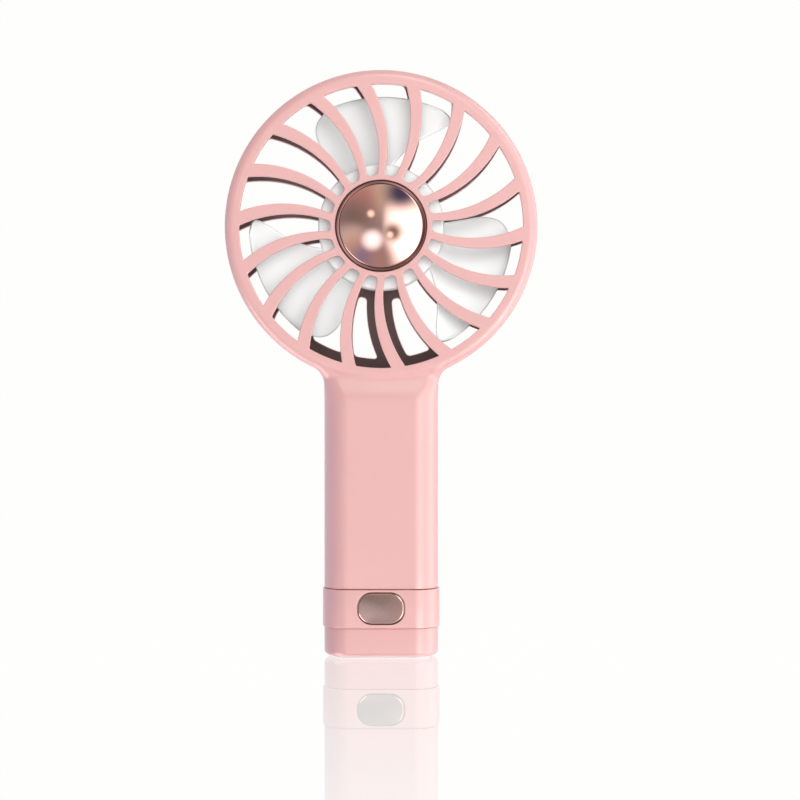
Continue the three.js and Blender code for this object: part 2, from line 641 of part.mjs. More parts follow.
// A blade's middle surface: along runs from hub to tip and across from the trailing to the leading edge.
function bladePoint(along, across) {
  const trailing = TRAILING_EDGE.getPoint(along);
  const leading = LEADING_EDGE.getPoint(along);
  const angleOf = ({ x, z }) => Math.atan2(x, z);
  const { lerp } = THREE.MathUtils;
  const angle = lerp(angleOf(trailing), angleOf(leading), across);
  const bulge = 4 * across * (1 - across);
  const root = lerp(TRAILING_EDGE.getPoint(0).length(), LEADING_EDGE.getPoint(0).length(), across);
  const sides = lerp(trailing.length(), leading.length(), across);
  const radius = lerp(sides, lerp(root, BLADE_TIP_RADIUS, along), bulge * along);
  const y = (1 - BLADE_FLATTENING * along) * lerp(BLADE_TRAILING_Y, BLADE_LEADING_Y, across);
  const bent = y + BLADE_CAMBER * bulge;
  return new THREE.Vector3(radius * Math.sin(angle), bent, radius * Math.cos(angle));
}

function blade(turn) {
  const [ALONG, ACROSS] = [7, 8];
  const positions = [];
  for (const side of [-0.5, 0.5])
    for (let i = 0; i <= ALONG; i += 1)
      for (let j = 0; j <= ACROSS; j += 1) {
        const { x, y, z } = bladePoint(i / ALONG, j / ACROSS);
        positions.push(x, y + side * BLADE_THICKNESS, z);
      }
  const row = ACROSS + 1;
  const sheet = (ALONG + 1) * row;
  const index = [];
  const quad = (a, b, c, d) => index.push(a, b, c, a, c, d);
  for (let i = 0; i < ALONG; i += 1)
    for (let j = 0; j < ACROSS; j += 1) {
      const a = i * row + j;
      quad(a, a + 1, a + row + 1, a + row);
      quad(sheet + a, sheet + a + row, sheet + a + row + 1, sheet + a + 1);
    }
  const wall = (a, b) => quad(a, a + sheet, b + sheet, b);
  for (let j = 0; j < ACROSS; j += 1) {
    wall(j, j + 1);
    wall(ALONG * row + j + 1, ALONG * row + j);
  }
  for (let i = 0; i < ALONG; i += 1) {
    wall((i + 1) * row, i * row);
    wall(i * row + ACROSS, (i + 1) * row + ACROSS);
  }
  const geometry = new THREE.BufferGeometry();
  geometry.setAttribute("position", new THREE.Float32BufferAttribute(positions, 3));
  geometry.setIndex(index);
  return solid(geometry.rotateY(turn).translate(0, 0, HEAD_HEIGHT));
}

function impeller() {
  const FRONT_WALL = 1.5;
  const SIDE_WALL = 1.3;
  const BOSS_RADIUS = 3;
  const inside = IMPELLER_HUB_RADIUS - SIDE_WALL;
  const bossEnd = MOTOR_FRONT - 2.2;
  const cup = turnedAlongY(
    [
      [0, IMPELLER_FRONT],
      [IMPELLER_HUB_RADIUS - 0.6, IMPELLER_FRONT],
      [IMPELLER_HUB_RADIUS, IMPELLER_FRONT + 0.6],
      [IMPELLER_HUB_RADIUS, IMPELLER_BACK],
      [inside, IMPELLER_BACK],
      [inside, IMPELLER_FRONT + FRONT_WALL],
      [BOSS_RADIUS, IMPELLER_FRONT + FRONT_WALL],
      [BOSS_RADIUS, bossEnd],
      [0, bossEnd],
    ],
    0, HEAD_HEIGHT, 48,
  );
  const blades = Array.from({ length: BLADE_COUNT }, (_, i) =>
    blade((i * 2 * Math.PI) / BLADE_COUNT),
  );
  const shaftHole = pinY(SHAFT_RADIUS + 0.1, IMPELLER_FRONT + 0.5, 5, 0, HEAD_HEIGHT, 24);
  return joined([cup, ...blades]).subtract(shaftHole);
}

// ---- Motor -----------------------------------------------------------------------------------------

const CAN_WALL = 0.8;
const CAN_BACK = 7.7;
const END_BELL_FRONT = 8;
const SHAFT_FIT = 0.08;
const BORE = SHAFT_RADIUS + SHAFT_FIT;
const BUSH_RADIUS = 2.4;
const MAGNET = { inner: 9.3, outer: 11.2, front: 1.8, back: 7, halfGap: 2.5 };
const ARMATURE = { middle: 2.6, shoeInner: 7.3, outer: 8.8, front: 2.3, back: 6.3 };
const COMMUTATOR = { radius: 2, front: 6.6, back: 7.8 };
const BRUSH = { thickness: 0.3, halfHeight: 2.4, front: 7, back: 7.7 };
const onAxis = (profile, segments = 24) => turnedAlongY(profile, 0, HEAD_HEIGHT, segments);

function motorCan() {
  const inner = MOTOR_RADIUS - CAN_WALL;
  const hole = BUSH_RADIUS + 0.1;
  const front = MOTOR_FRONT;
  return onAxis([
    [hole, front], [MOTOR_RADIUS, front], [MOTOR_RADIUS, CAN_BACK], [inner, CAN_BACK],
    [inner, front + CAN_WALL], [hole, front + CAN_WALL], [hole, front],
  ]);
}

const motorEndBell = () =>
  onAxis(tubeWall(BUSH_RADIUS + 0.1, MOTOR_RADIUS - 0.2, END_BELL_FRONT, MOTOR_BACK));
const bush = (from, to) => onAxis(tubeWall(BORE, BUSH_RADIUS, from, to), 18);

// Two curved magnets line the can, one each side.
function magnet(sign) {
  const ring = onAxis(tubeWall(MAGNET.inner, MAGNET.outer, MAGNET.front, MAGNET.back), 28);
  const [near, far] = [sign * MAGNET.halfGap, sign * EVERYTHING];
  const half = box(Math.min(near, far), Math.max(near, far), 0, MOTOR_BACK, 0, EVERYTHING);
  return ring.intersect(half);
}

const POLE_COUNT = 3;
const poleTurn = (i) => (i * 2 * Math.PI) / POLE_COUNT;

function turnedToPole(made, i) {
  const centred = geometryOf(made.translate([0, 0, -HEAD_HEIGHT]));
  return solid(centred.rotateY(poleTurn(i)).translate(0, 0, HEAD_HEIGHT));
}

function armatureCore() {
  const { middle, shoeInner, outer, front, back } = ARMATURE;
  const neck = box(-1.5, 1.5, front, back, HEAD_HEIGHT, HEAD_HEIGHT + shoeInner + 0.7);
  const shoeSides = box(-5.6, 5.6, front - 1, back + 1, HEAD_HEIGHT, EVERYTHING);
  const shoe = onAxis(tubeWall(shoeInner, outer, front, back), 36).intersect(shoeSides);
  const poles = Array.from({ length: POLE_COUNT }, (_, i) => turnedToPole(neck.add(shoe), i));
  const core = pinY(middle, front, back, 0, HEAD_HEIGHT, 18);
  return joined([core, ...poles]).subtract(pinY(BORE, 0, MOTOR_BACK, 0, HEAD_HEIGHT, 18));
}

// A coil round one pole's neck.
function winding(i) {
  const [low, high] = [HEAD_HEIGHT + 3.7, HEAD_HEIGHT + 6.5];
  const { front, back } = ARMATURE;
  const outside = box(-2.7, 2.7, front - 0.6, back + 0.6, low, high);
  const inside = box(-1.7, 1.7, front - 0.2, back + 0.2, low - 1, high + 1);
  return turnedToPole(outside.subtract(inside), i);
}

const commutator = () =>
  onAxis(tubeWall(BORE, COMMUTATOR.radius, COMMUTATOR.front, COMMUTATOR.back), 18);

function brush(sign) {
  const { thickness, halfHeight, front, back } = BRUSH;
  const x = sign * (COMMUTATOR.radius + 0.2 + thickness / 2);
  const [low, high] = [HEAD_HEIGHT - halfHeight, HEAD_HEIGHT + halfHeight];
  return box(x - thickness / 2, x + thickness / 2, front, back, low, high);
}

const motorShaft = () => onAxis(rod(SHAFT_RADIUS, IMPELLER_FRONT + 0.7, MOTOR_BACK), 18);

const BRACKET_FRONT = MOTOR_FRONT - 0.9;

// A pressed plate across the motor's front, held down by a screw through each ear.
function motorBracket() {
  const ARM_WIDTH = 4.4;
  const back = BRACKET_FRONT + 0.8;
  const disc = pinY(8, BRACKET_FRONT, back, 0, HEAD_HEIGHT, 28);
  const armShape = roundedRectangle(2 * BRACKET_SCREW_X + ARM_WIDTH, ARM_WIDTH, 2.1, 0, HEAD_HEIGHT);
  const arm = extrudeBack(armShape, BRACKET_FRONT, back, 3);
  const holes = [-BRACKET_SCREW_X, BRACKET_SCREW_X].map((x) => pinY(1.15, -5, 5, x, HEAD_HEIGHT, 12));
  return joined([disc, arm]).subtract(joined([pinY(3, -5, 5, 0, HEAD_HEIGHT, 20), ...holes]));
}

// ---- Screws ----------------------------------------------------------------------------------------

// A pan-head screw's profile along its axis, from the point of the thread to the top of the head.
function screwProfile(length, shank, headRadius, headHeight) {
  return [
    [0, 0], [shank, 1.2], [shank, length],
    [headRadius, length], [headRadius * 0.8, length + headHeight],
    [0, length + headHeight],
  ];
}

// A cross recess in the head, cut down along the axis from its top.
const crossRecess = (radius, depth, top) => [
  box(-radius, radius, -0.2, 0.2, top - depth, top + 1),
  box(-0.2, 0.2, -radius, radius, top - depth, top + 1),
];

function screwUp({ length, shank, headRadius, headHeight }) {
  const body = turnedAlongZ(screwProfile(length, shank, headRadius, headHeight), 0, 0, 10);
  return body.subtract(joined(crossRecess(headRadius * 0.6, headHeight * 0.6, length + headHeight)));
}

const moved = (made, rotateX, x, y, z) => solid(geometryOf(made).rotateX(rotateX).translate(x, y, z));

// ---- Cell and wiring -------------------------------------------------------------------------------

const CELL_TOP = CELL_BOTTOM + CELL_LENGTH;

function battery() {
  return turnedAlongZ([
    [0, CELL_BOTTOM], [CELL_RADIUS - 0.4, CELL_BOTTOM], [CELL_RADIUS, CELL_BOTTOM + 0.4],
    [CELL_RADIUS, CELL_TOP - 1.6], [CELL_RADIUS - 0.5, CELL_TOP - 1.2], [3.2, CELL_TOP - 1.2],
    [3, CELL_TOP - 0.5], [0, CELL_TOP - 0.5],
  ], 0, 0, 28);
}

const insulatorRing = () => turnedAlongZ(tubeWall(3.6, 8.2, CELL_TOP - 1, CELL_TOP - 0.7), 0, 0, 24);
const positiveTab = () => box(-2, 2, -2, 7.4, CELL_TOP - 0.3, CELL_TOP - 0.1);
const negativeTab = () => box(-2, 2, -2, 6, CELL_BOTTOM - 0.4, CELL_BOTTOM - 0.2);

// A strip of foam between the cell and the front of the handle.
const foamPad = () => box(-5, 5, -10.8, -9.4, 46, 70);

const LEAD_RISE = 0.4; // of a lead's end above the board

// The two motor leads start at the end bell, follow the spoke's channel and run down beside the cell.
function motorLead(offset, x, y, boardX) {
  const bed = HEAD_HALF_DEPTH - SPOKE_DEPTH + 1.1;
  const alongSpoke = [15, 20, 26, 32, 38, 44, 48].map((radius) => {
    const point = headPoint(radius, ribAngle(radius, SPOKE) + offset / radius);
    return [point.x, bed, point.y];
  });
  return lead([
    ...alongSpoke,
    [x * 0.85, y - 0.6, 90],
    [x, y, 85],
    [x, y, 60],
    [x, y, 32],
    [x, y - 0.6, 24],
    [boardX, 5.2, 17.4],
    [boardX, 4.6, BOARD_TOP + LEAD_RISE],
  ], 28);
}

const batteryLeadRed = () =>
  lead([
    [-1, 6.5, CELL_TOP + 0.7], [-4.6, 8, CELL_TOP + 0.1], [-6.8, 8.6, CELL_TOP - 4], [-7.1, 8.7, 78],
    [-7.1, 8.7, 32], [-7.4, 7.6, 22], [-8.6, 5, 17], [-8.8, 4.6, BOARD_TOP + LEAD_RISE],
  ], 18);
const batteryLeadBlack = () =>
  lead([[0, 6.9, CELL_BOTTOM - 0.6], [-3, 7, 22.4], [-5.4, 3, 18], [-6, 1, BOARD_TOP + LEAD_RISE]], 10);

// ---- Assembly --------------------------------------------------------------------------------------

const fan = new THREE.Group();

function place(name, made, look) {
  const mesh = new THREE.Mesh(geometryOf(made), look);
  mesh.name = name;
  fan.add(mesh);
}

place("front_shell", frontShell(), pink);
place("rear_shell", rearShell(), pink);
place("dome_cap", domeCap(), roseMetal);
place("collar", collar(), pink);
place("bottom_cap", bottomCap(), pink);
place("foot_pad", footPad(), rubber);

place("power_button", powerButton(), roseMetal);
place("switch_plunger", plunger(), blackPlastic);
place("switch_body", switchBody(), blackPlastic);

place("impeller", impeller(), whitePlastic);
place("motor_shaft", motorShaft(), steel);
place("armature_core", armatureCore(), zinc);
for (let i = 0; i < POLE_COUNT; i += 1) place(`armature_winding_${i + 1}`, winding(i), copper);
place("commutator", commutator(), copper);
place("motor_can", motorCan(), zinc);
place("motor_end_bell", motorEndBell(), blackPlastic);
place("motor_magnet_left", magnet(-1), ferrite);
place("motor_magnet_right", magnet(1), ferrite);
place("motor_bush_front", bush(MOTOR_FRONT, 1.9), bronze);
place("motor_bush_rear", bush(8.1, MOTOR_BACK - 0.1), bronze);
place("motor_brush_left", brush(-1), copper);
place("motor_brush_right", brush(1), copper);
place("motor_bracket", motorBracket(), zinc);

const BRACKET_SCREW = { length: 7, shank: 0.8, headRadius: 1.9, headHeight: 0.9 };
const SHELL_SCREW = { length: 14, shank: 0.95, headRadius: 2, headHeight: 1.2 };
const BASE_SCREW = { length: 7.2, shank: 0.9, headRadius: 2, headHeight: 1 };
[-1, 1].forEach((sign) => {
  const side = sign < 0 ? "left" : "right";
  const bracketTip = BRACKET_FRONT - HALF_GAP / 2 + BRACKET_SCREW.length;
  const baseTip = CAP_SCREW.seat - 0.1 + BASE_SCREW.length;
  const bracketScrew = moved(
    screwUp(BRACKET_SCREW), Math.PI / 2, sign * BRACKET_SCREW_X, bracketTip, HEAD_HEIGHT,
  );
  const baseScrew = moved(screwUp(BASE_SCREW), Math.PI, sign * CAP_SCREW.x, CAP_SCREW.y, baseTip);
  place(`bracket_screw_${side}`, bracketScrew, zinc);
  place(`cap_screw_${side}`, baseScrew, zinc);
});
shellScrewPlaces.forEach(([x, z], i) => {
  const tip = COUNTERBORE.seat + 0.1 - SHELL_SCREW.length;
  place(`shell_screw_${i + 1}`, moved(screwUp(SHELL_SCREW), -Math.PI / 2, x, tip, z), zinc);
});

place("battery_cell", battery(), cellWrap);
place("battery_insulator", insulatorRing(), paper);
place("battery_tab_positive", positiveTab(), nickel);
place("battery_tab_negative", negativeTab(), nickel);
place("battery_foam_pad", foamPad(), foam);
place("battery_lead_red", batteryLeadRed(), redWire);
place("battery_lead_black", batteryLeadBlack(), blackWire);
place("motor_lead_red", motorLead(-0.8, 8.1, 8.7, 9), redWire);
place("motor_lead_black", motorLead(0.8, 6.6, 9.3, 7.2), blackWire);

place("control_board", board(), boardGreen);
place("control_chip", onBoard(-4.5, -0.5, -3.4, 1.4, 1.4), blackPlastic);
place("power_inductor", onBoard(2, 6, -3.2, 0.8, 2.6), ferrite);
place("usb_port_shell", usbShell(), nickel);
place("usb_port_tongue", usbTongue(), blackPlastic);
place("charge_led", onBoard(LED_X - 0.8, LED_X + 0.8, 7.1, 7.9, 1.6), clearLens);
place("led_lens", ledLens(), clearLens);

export default fan;
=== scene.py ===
"""The looks of a pink handheld fan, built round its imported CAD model.

Shapes are worked out in millimetres in the model's own frame (+Z up, the front faces -Y) and turned into
metres when a mesh is made.
"""

import json
import math

import bmesh
import bpy
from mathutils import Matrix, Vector
from mathutils.geometry import delaunay_2d_cdt


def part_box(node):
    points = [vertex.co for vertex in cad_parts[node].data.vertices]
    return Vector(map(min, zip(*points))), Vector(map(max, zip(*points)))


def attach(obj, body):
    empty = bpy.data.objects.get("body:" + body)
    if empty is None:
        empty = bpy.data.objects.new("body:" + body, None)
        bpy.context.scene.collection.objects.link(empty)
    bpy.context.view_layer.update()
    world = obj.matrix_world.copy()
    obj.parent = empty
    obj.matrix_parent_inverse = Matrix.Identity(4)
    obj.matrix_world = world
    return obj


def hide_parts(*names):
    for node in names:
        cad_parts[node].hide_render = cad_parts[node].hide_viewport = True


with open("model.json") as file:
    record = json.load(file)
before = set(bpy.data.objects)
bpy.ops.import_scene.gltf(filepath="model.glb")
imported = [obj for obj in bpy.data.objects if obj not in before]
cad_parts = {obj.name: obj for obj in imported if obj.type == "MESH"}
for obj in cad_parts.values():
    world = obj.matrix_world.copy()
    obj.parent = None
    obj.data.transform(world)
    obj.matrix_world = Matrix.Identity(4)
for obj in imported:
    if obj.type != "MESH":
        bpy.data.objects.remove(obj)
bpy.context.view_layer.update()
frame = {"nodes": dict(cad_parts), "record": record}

MM = 0.001
FRONT, REAR = -1, 1  # which way a shell's outer face looks along Y


def box_mm(node):
    low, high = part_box(node)
    return low / MM, high / MM


# ---- Dimensions, from the frame where a node's box gives them ----

shell_low, shell_high = box_mm("front_shell")
cap_low, cap_high = box_mm("bottom_cap")
collar_low, collar_high = box_mm("collar")
dome_low, dome_high = box_mm("dome_cap")
button_low, button_high = box_mm("power_button")
pad_low, pad_high = box_mm("foot_pad")
usb_low, usb_high = box_mm("usb_port_shell")
lens_low, lens_high = box_mm("led_lens")
impeller_low, impeller_high = box_mm("impeller")

FOOT_ROUND = 0.25
SEAM_ROUND = 0.2
FLANK_START = SEAM_ROUND + 0.35  # how far from the mid-plane the handle's curved flank begins
FLANK_STEPS = 14
MATING = 0.03  # from the mid-plane to the face where a shell meets the other
HEAD_R = shell_high.x
HEAD_Z = shell_high.z - HEAD_R
HEAD_DEPTH = 11.0  # from the mid-plane to the head's face
HEAD_EDGE = {FRONT: 3.0, REAR: 2.0}  # how far in from the rim the head's rounded edge reaches
CHAMBER_R = 48.9  # the hollow that the impeller turns in
MOTOR_ROOM_R, MOTOR_ROOM_BACK = 12.5, 9.2
MOTOR_RING_R, MOTOR_RING_FRONT = 13.3, 3.4
BOSS_X, BOSS_R, BOSS_FRONT, PILOT_R = 15.6, 2.2, 0.7, 0.9  # for the motor bracket's screws
NECK_FILLET = 6.0
NECK_DEPTH = 10.0  # where the handle's face ends behind the head's
NECK_LOW, NECK_HIGH, NECK_BLEND = 82.0, 95.0, 0.8
HANDLE_W = cap_high.x
HANDLE_DEPTH = -shell_low.y
HANDLE_SIDE = 8.0  # how far in from each side the curved flank reaches
HANDLE_WALL = 2.0
FOOT_Z = collar_high.z + 0.2  # where the handle ends
FOOT_FLAT_X = (9, 6, 3, 0, -3, -6, -9)
SHOULDER_LOW, SHOULDER_HIGH = 83.5, 93.5
POCKET_LEVELS = (60.0, 84.0, 86.0, 88.0, 89.5, 90.5)
POCKET_TAPER_TOP = 89.0  # the pocket thins with the shoulder up to here

RIBS = 18
RIB_PITCH = 2 * math.pi / RIBS
RIB_ARC_X, RIB_ARC_Z, RIB_ARC_R = -27.96, 36.28, 39.4  # the arc a rib follows, from the head's middle
RIB_HUB_R, RIB_HUB_WIDTH, RIB_GROWTH = 18.85, 2.47, 0.0775
FRONT_RIB, REAR_RIB = 2.4, 3.0  # how deep the ribs are
RIB_ROUND, RIB_BACK_ROUND = 0.3, 0.15
SPOKE, SPOKE_EXTRA = 8, 2.8  # the rear rib behind the motor's wires, and how much it spreads each way
FRONT_SLOT = (16.5, 46.2, 1.45, 0.35)  # inner and outer radius, and the rounding of either end
REAR_SLOT_INNER, REAR_SLOT_OUTER, REAR_SLOT_ROUND = 19.0, 48.5, 1.3
SPOKE_SLOT_INNER, NECK_SLOT_OUTER = 23.4, 42.9

DOME_R = dome_high.x
SEAT_R, SEAT_DEPTH, SEAT_ROUND = DOME_R + 0.28, 1.5, 0.12
CROWN_R = DOME_R - 1.15
CROWN_BALL = 30.5  # the radius of the sphere that the crown is cut from
RING_VALLEY, RING_TOP = -11.1, -11.5

HUB_R, HUB_ROUND = 20.7, 1.1
SLEEVE_R, SLEEVE_BACK, BORE_R = 3.0, -1.7, 1.2  # the sleeve inside the hub cup that holds the shaft
BLADES = 3
BLADE_ROOT_R, BLADE_TIP_R = 20.0, 43.3
BLADE_THICK, BLADE_NOSE = 0.95, 0.55
BLADE_SPAN = math.radians(60)

FLANGE_FRONT, FLANGE_OUT = 11.3, 0.5  # the button's flange, behind the collar's wall
BUTTON_W, BUTTON_H = button_high.x - FLANGE_OUT, (button_high.z - button_low.z) / 2 - FLANGE_OUT
BUTTON_Z = (button_high.z + button_low.z) / 2
BUTTON_CORNER = 4.6
BUTTON_GAP, PORT_GAP = 0.28, 0.3  # round each, in the collar's openings
BUTTON_BEVEL = 0.55
BUTTON_CROWN = 0.3  # how far the middle of its face stands out from the edge

COLLAR_WALL, COLLAR_EDGE = 2.0, 0.25
COLLAR_SIDE = HANDLE_SIDE + 0.5
OPENING_ROUND = 0.22
CAP_ROUND, CAP_WALL, CAP_FLOOR = 1.7, 1.6, 3.4
CAP_GAP, CAP_TOP_ROUND = 0.09, 0.18
PAD_RECESS = 2.3  # how far the recess for the pad lies inside the cap's edge
USB_Z, USB_H = (usb_high.z + usb_low.z) / 2, (usb_high.z - usb_low.z) / 2
PORT_CORNER, PORT_OPENING_CORNER, LENS_OPENING_R = 1.55, 1.9, 1.25
LENS_X, LENS_Z = (lens_low.x + lens_high.x) / 2, (lens_low.z + lens_high.z) / 2
LENS_R, LENS_CROWN = (lens_high.x - lens_low.x) / 2, 0.45

SCREWS = (1, 2, 3, 4)
SCREW_R, SHANK_R = 2.0, 0.95
SCREW_SEAT, SCREW_TOP, SCREW_LENGTH = 8.5, 9.7, 14
COUNTERBORE_R, COUNTERBORE_SEAT = 2.2, 8.4


def lerp(a, b, t):
    return a + (b - a) * t


def smoothstep(x, low, high):
    t = min(max((x - low) / (high - low), 0.0), 1.0)
    return t * t * (3 - 2 * t)


def smooth_max(a, b, width):
    near = max(width - abs(a - b), 0.0) / width
    return max(a, b) + near * near * width / 4


def spread(low, high, count):
    return [lerp(low, high, i / (count - 1)) for i in range(count)]


# ---- Mesh building ----

SUPPORT = 0.06  # a narrow strip beside each rounded edge keeps the flat face beyond it flat in the light
WELD = 1e-4
MATERIALS = {}
# The pink pieces' looks: the glossy outside, and a dark colour for inner faces that paints the shade
# inside them
PINK = ("pink_plastic", "painted_shade_inside")


class Skin:
    """A closed surface under construction: points in mm, and faces with the number of their material."""

    def __init__(self):
        self.points = []
        self.faces = []
        self.looks = []

    def add(self, points):
        start = len(self.points)
        self.points.extend(points)
        return list(range(start, len(self.points)))

    def face(self, corners, look=0):
        if len(set(corners)) > 2:
            self.faces.append(tuple(dict.fromkeys(corners)))
            self.looks.append(look)

    def bridge(self, a, b, look=0, closed=False):
        count = len(a)
        for i in range(count if closed else count - 1):
            j = (i + 1) % count
            self.face((a[i], a[j], b[j], b[i]), look)

    def chain(self, rings, look=0, closed=False):
        for a, b in zip(rings, rings[1:]):
            self.bridge(a, b, look, closed)

    def fill(self, loops, look=0, inside=(), axes=(0, 2)):
        """Fills the region inside the first loop and outside the others, seen along the third axis."""
        flat = [index for loop in loops for index in loop] + list(inside)
        spots = [Vector((self.points[i][axes[0]], self.points[i][axes[1]])) for i in flat]
        outlines = []
        start = 0
        for loop in loops:
            outline = list(range(start, start + len(loop)))
            start += len(loop)
            turn = sum(spots[a].cross(spots[b]) for a, b in zip(outline, outline[1:] + outline[:1]))
            outlines.append(outline if turn > 0 else outline[::-1])
        _, _, faces, origin, _, owners = delaunay_2d_cdt(spots, [], outlines, 1, 1e-7)
        for corners, owner in zip(faces, owners):
            if list(owner) == [0]:
                self.face([flat[origin[c][0]] for c in corners], look)


def make_piece(name, skin, looks, sharp=50):
    """The skin as a Blender object, its faces turned outwards and its hard edges marked."""
    mesh = bpy.data.meshes.new(name)
    mesh.from_pydata([(x * MM, y * MM, z * MM) for x, y, z in skin.points], [], skin.faces)
    for look in looks:
        mesh.materials.append(MATERIALS[look])
    mesh.polygons.foreach_set("material_index", skin.looks)
    work = bmesh.new()
    work.from_mesh(mesh)
    bmesh.ops.remove_doubles(work, verts=work.verts, dist=WELD * MM)
    bmesh.ops.recalc_face_normals(work, faces=work.faces)
    work.to_mesh(mesh)
    work.free()
    mesh.shade_smooth()
    mesh.set_sharp_from_angle(angle=math.radians(sharp))
    piece = bpy.data.objects.new(name, mesh)
    bpy.context.scene.collection.objects.link(piece)
    return piece


def place(piece, body, slot, *nodes):
    """Lets a piece move with a body and stand for CAD nodes."""
    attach(piece, body)
    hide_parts(*nodes)
    return piece


def add_piece(name, skin, looks, body, *nodes, sharp=50):
    return place(make_piece(name, skin, looks, sharp), body, looks[0], *nodes)


def lathe(skin, profile, centre=(0.0, HEAD_Z), segments=96, look=0):
    """Turns (radius, y) points about a line along Y. A radius of 0 makes a single point."""
    cx, cz = centre
    rings = []
    for radius, y in profile:
        if radius < 1e-6:
            pole = skin.add([(cx, y, cz)])
            rings.append(pole * segments)
            continue
        turns = [2 * math.pi * i / segments for i in range(segments)]
        rings.append(skin.add([(cx + radius * math.sin(t), y, cz + radius * math.cos(t)) for t in turns]))
    skin.chain(rings, look, True)
    return rings


def arc(cx, cy, radius, start, end, count):
    """Points on an arc, with angles in degrees."""
    return [
        (cx + radius * math.cos(math.radians(a)), cy + radius * math.sin(math.radians(a)))
        for a in spread(start, end, count)
    ]


def grown(loop, by):
    """A closed (x, z) loop moved outwards along its normals."""
    count = len(loop)
    area = sum(loop[i - 1][0] * loop[i][1] - loop[i][0] * loop[i - 1][1] for i in range(count))
    side = 1 if area > 0 else -1
    moved = []
    for i, (x, z) in enumerate(loop):
        before = Vector((x - loop[i - 1][0], z - loop[i - 1][1])).normalized()
        after = Vector((loop[(i + 1) % count][0] - x, loop[(i + 1) % count][1] - z)).normalized()
        along = (before + after).normalized()
        stretch = 1 / max(math.sqrt(max((1 + before.dot(after)) / 2, 0.0)), 0.5)  # at most twice as far
        moved.append((x + side * along.y * by * stretch, z - side * along.x * by * stretch))
    return moved


def cut_levels(depth, back, front_round, back_round=0):
    """(outward offset, depth) of the rings down a hole's wall, with one or both of its edges rounded."""
    steps = 4
    levels = [(front_round + SUPPORT, depth)]
    for i in range(steps + 1):
        a = math.pi / 2 * i / steps
        levels.append((front_round * (1 - math.sin(a)), depth - front_round * (1 - math.cos(a))))
    if back_round:
        for i in range(3):
            a = math.pi / 4 * i
            levels.append((back_round * (1 - math.cos(a)), back + back_round * (1 - math.sin(a))))
        levels.append((back_round + SUPPORT, back))
    else:
        levels.append((0.0, back))
    return levels


def cut_wall(skin, loop, levels, side, look=0, deep_look=None):
    """The wall of a hole through a face that looks along Y. Returns its first and last rings."""
    rings = [skin.add([(x, side * depth, z) for x, z in grown(loop, by)]) for by, depth in levels]
    skin.chain(rings[:-1], look, True)
    skin.bridge(rings[-2], rings[-1], look if deep_look is None else deep_look, True)
    return rings[0], rings[-1]


def circle(radius, cx=0.0, cz=HEAD_Z, count=96):
    turns = [2 * math.pi * i / count for i in range(count)]
    return [(cx + radius * math.sin(t), cz + radius * math.cos(t)) for t in turns]


def pill(half_w, half_h, corner, cz, steps=14):
    """A rectangle with round corners and its middle at x = 0, as an (x, z) loop."""
    loop = []
    for sx, sz, start in ((1, -1, -90), (1, 1, 0), (-1, 1, 90), (-1, -1, 180)):
        middle_x, middle_z = sx * (half_w - corner), cz + sz * (half_h - corner)
        loop += arc(middle_x, middle_z, corner, start, start + 90, steps)
    return [p for i, p in enumerate(loop) if math.dist(p, loop[i - 1]) > 1e-5]


def bend(start, corner, end, count):
    """Points strictly between start and end on a smooth bend round the corner."""
    points = []
    for i in range(1, count):
        t = i / count
        u = 1 - t
        points.append(tuple(u * u * a + 2 * u * t * b + t * t * c for a, b, c in zip(start, corner, end)))
    return points


# ---- The grilles' slots ----


def head_point(radius, angle):
    return radius * math.sin(angle), HEAD_Z + radius * math.cos(angle)


def rib_angle(radius, k):
    reach = math.hypot(RIB_ARC_X, RIB_ARC_Z)
    cosine = (radius**2 + reach**2 - RIB_ARC_R**2) / (2 * radius * reach)
    return math.atan2(RIB_ARC_X, RIB_ARC_Z) + math.acos(cosine) + k * RIB_PITCH


def rib_half_angle(radius, extra=0.0):
    return ((RIB_HUB_WIDTH + RIB_GROWTH * (radius - RIB_HUB_R)) / 2 + extra) / radius


def slot_loop(k, inner, outer, inner_round, outer_round, start_extra=0.0, end_extra=0.0):
    """The slot between ribs k and k + 1, as a closed (x, z) loop."""
    side_points, outer_points, inner_points, corner_points = 16, 7, 4, 5

    def start(r):
        return rib_angle(r, k) + rib_half_angle(r, start_extra)

    def end(r):
        return rib_angle(r, k + 1) - rib_half_angle(r, end_extra)

    radii = spread(inner + inner_round, outer - outer_round, side_points)
    outer_turn = outer_round / outer
    inner_turn = min(inner_round / inner, 0.42 * (end(inner) - start(inner)))  # leaves a short flat
    outer_arc = spread(start(outer) + outer_turn, end(outer) - outer_turn, outer_points)
    inner_arc = spread(end(inner) - inner_turn, start(inner) + inner_turn, inner_points)
    first_side = [head_point(r, start(r)) for r in radii]
    second_side = [head_point(r, end(r)) for r in reversed(radii)]
    outer_end = [head_point(outer, a) for a in outer_arc]
    inner_end = [head_point(inner, a) for a in inner_arc]
    return (
        first_side
        + bend(first_side[-1], head_point(outer, start(outer)), outer_end[0], corner_points)
        + outer_end
        + bend(outer_end[-1], head_point(outer, end(outer)), second_side[0], corner_points)
        + second_side
        + bend(second_side[-1], head_point(inner, end(inner)), inner_end[0], corner_points)
        + inner_end
        + bend(inner_end[-1], head_point(inner, start(inner)), first_side[0], corner_points)
    )


def front_slots():
    return [slot_loop(k, *FRONT_SLOT) for k in range(RIBS)]


def rear_slots():
    """The two slots beside the wire spoke start further out, and the three over the neck end sooner."""
    loops = []
    for k in range(RIBS):
        beside = k in (SPOKE - 1, SPOKE)
        over_neck = beside or k == SPOKE + 1
        loops.append(
            slot_loop(
                k,
                SPOKE_SLOT_INNER if beside else REAR_SLOT_INNER,
                NECK_SLOT_OUTER if over_neck else REAR_SLOT_OUTER,
                REAR_SLOT_ROUND,
                REAR_SLOT_ROUND,
                SPOKE_EXTRA if k == SPOKE else 0.0,
                SPOKE_EXTRA if k == SPOKE - 1 else 0.0,
            )
        )
    return loops


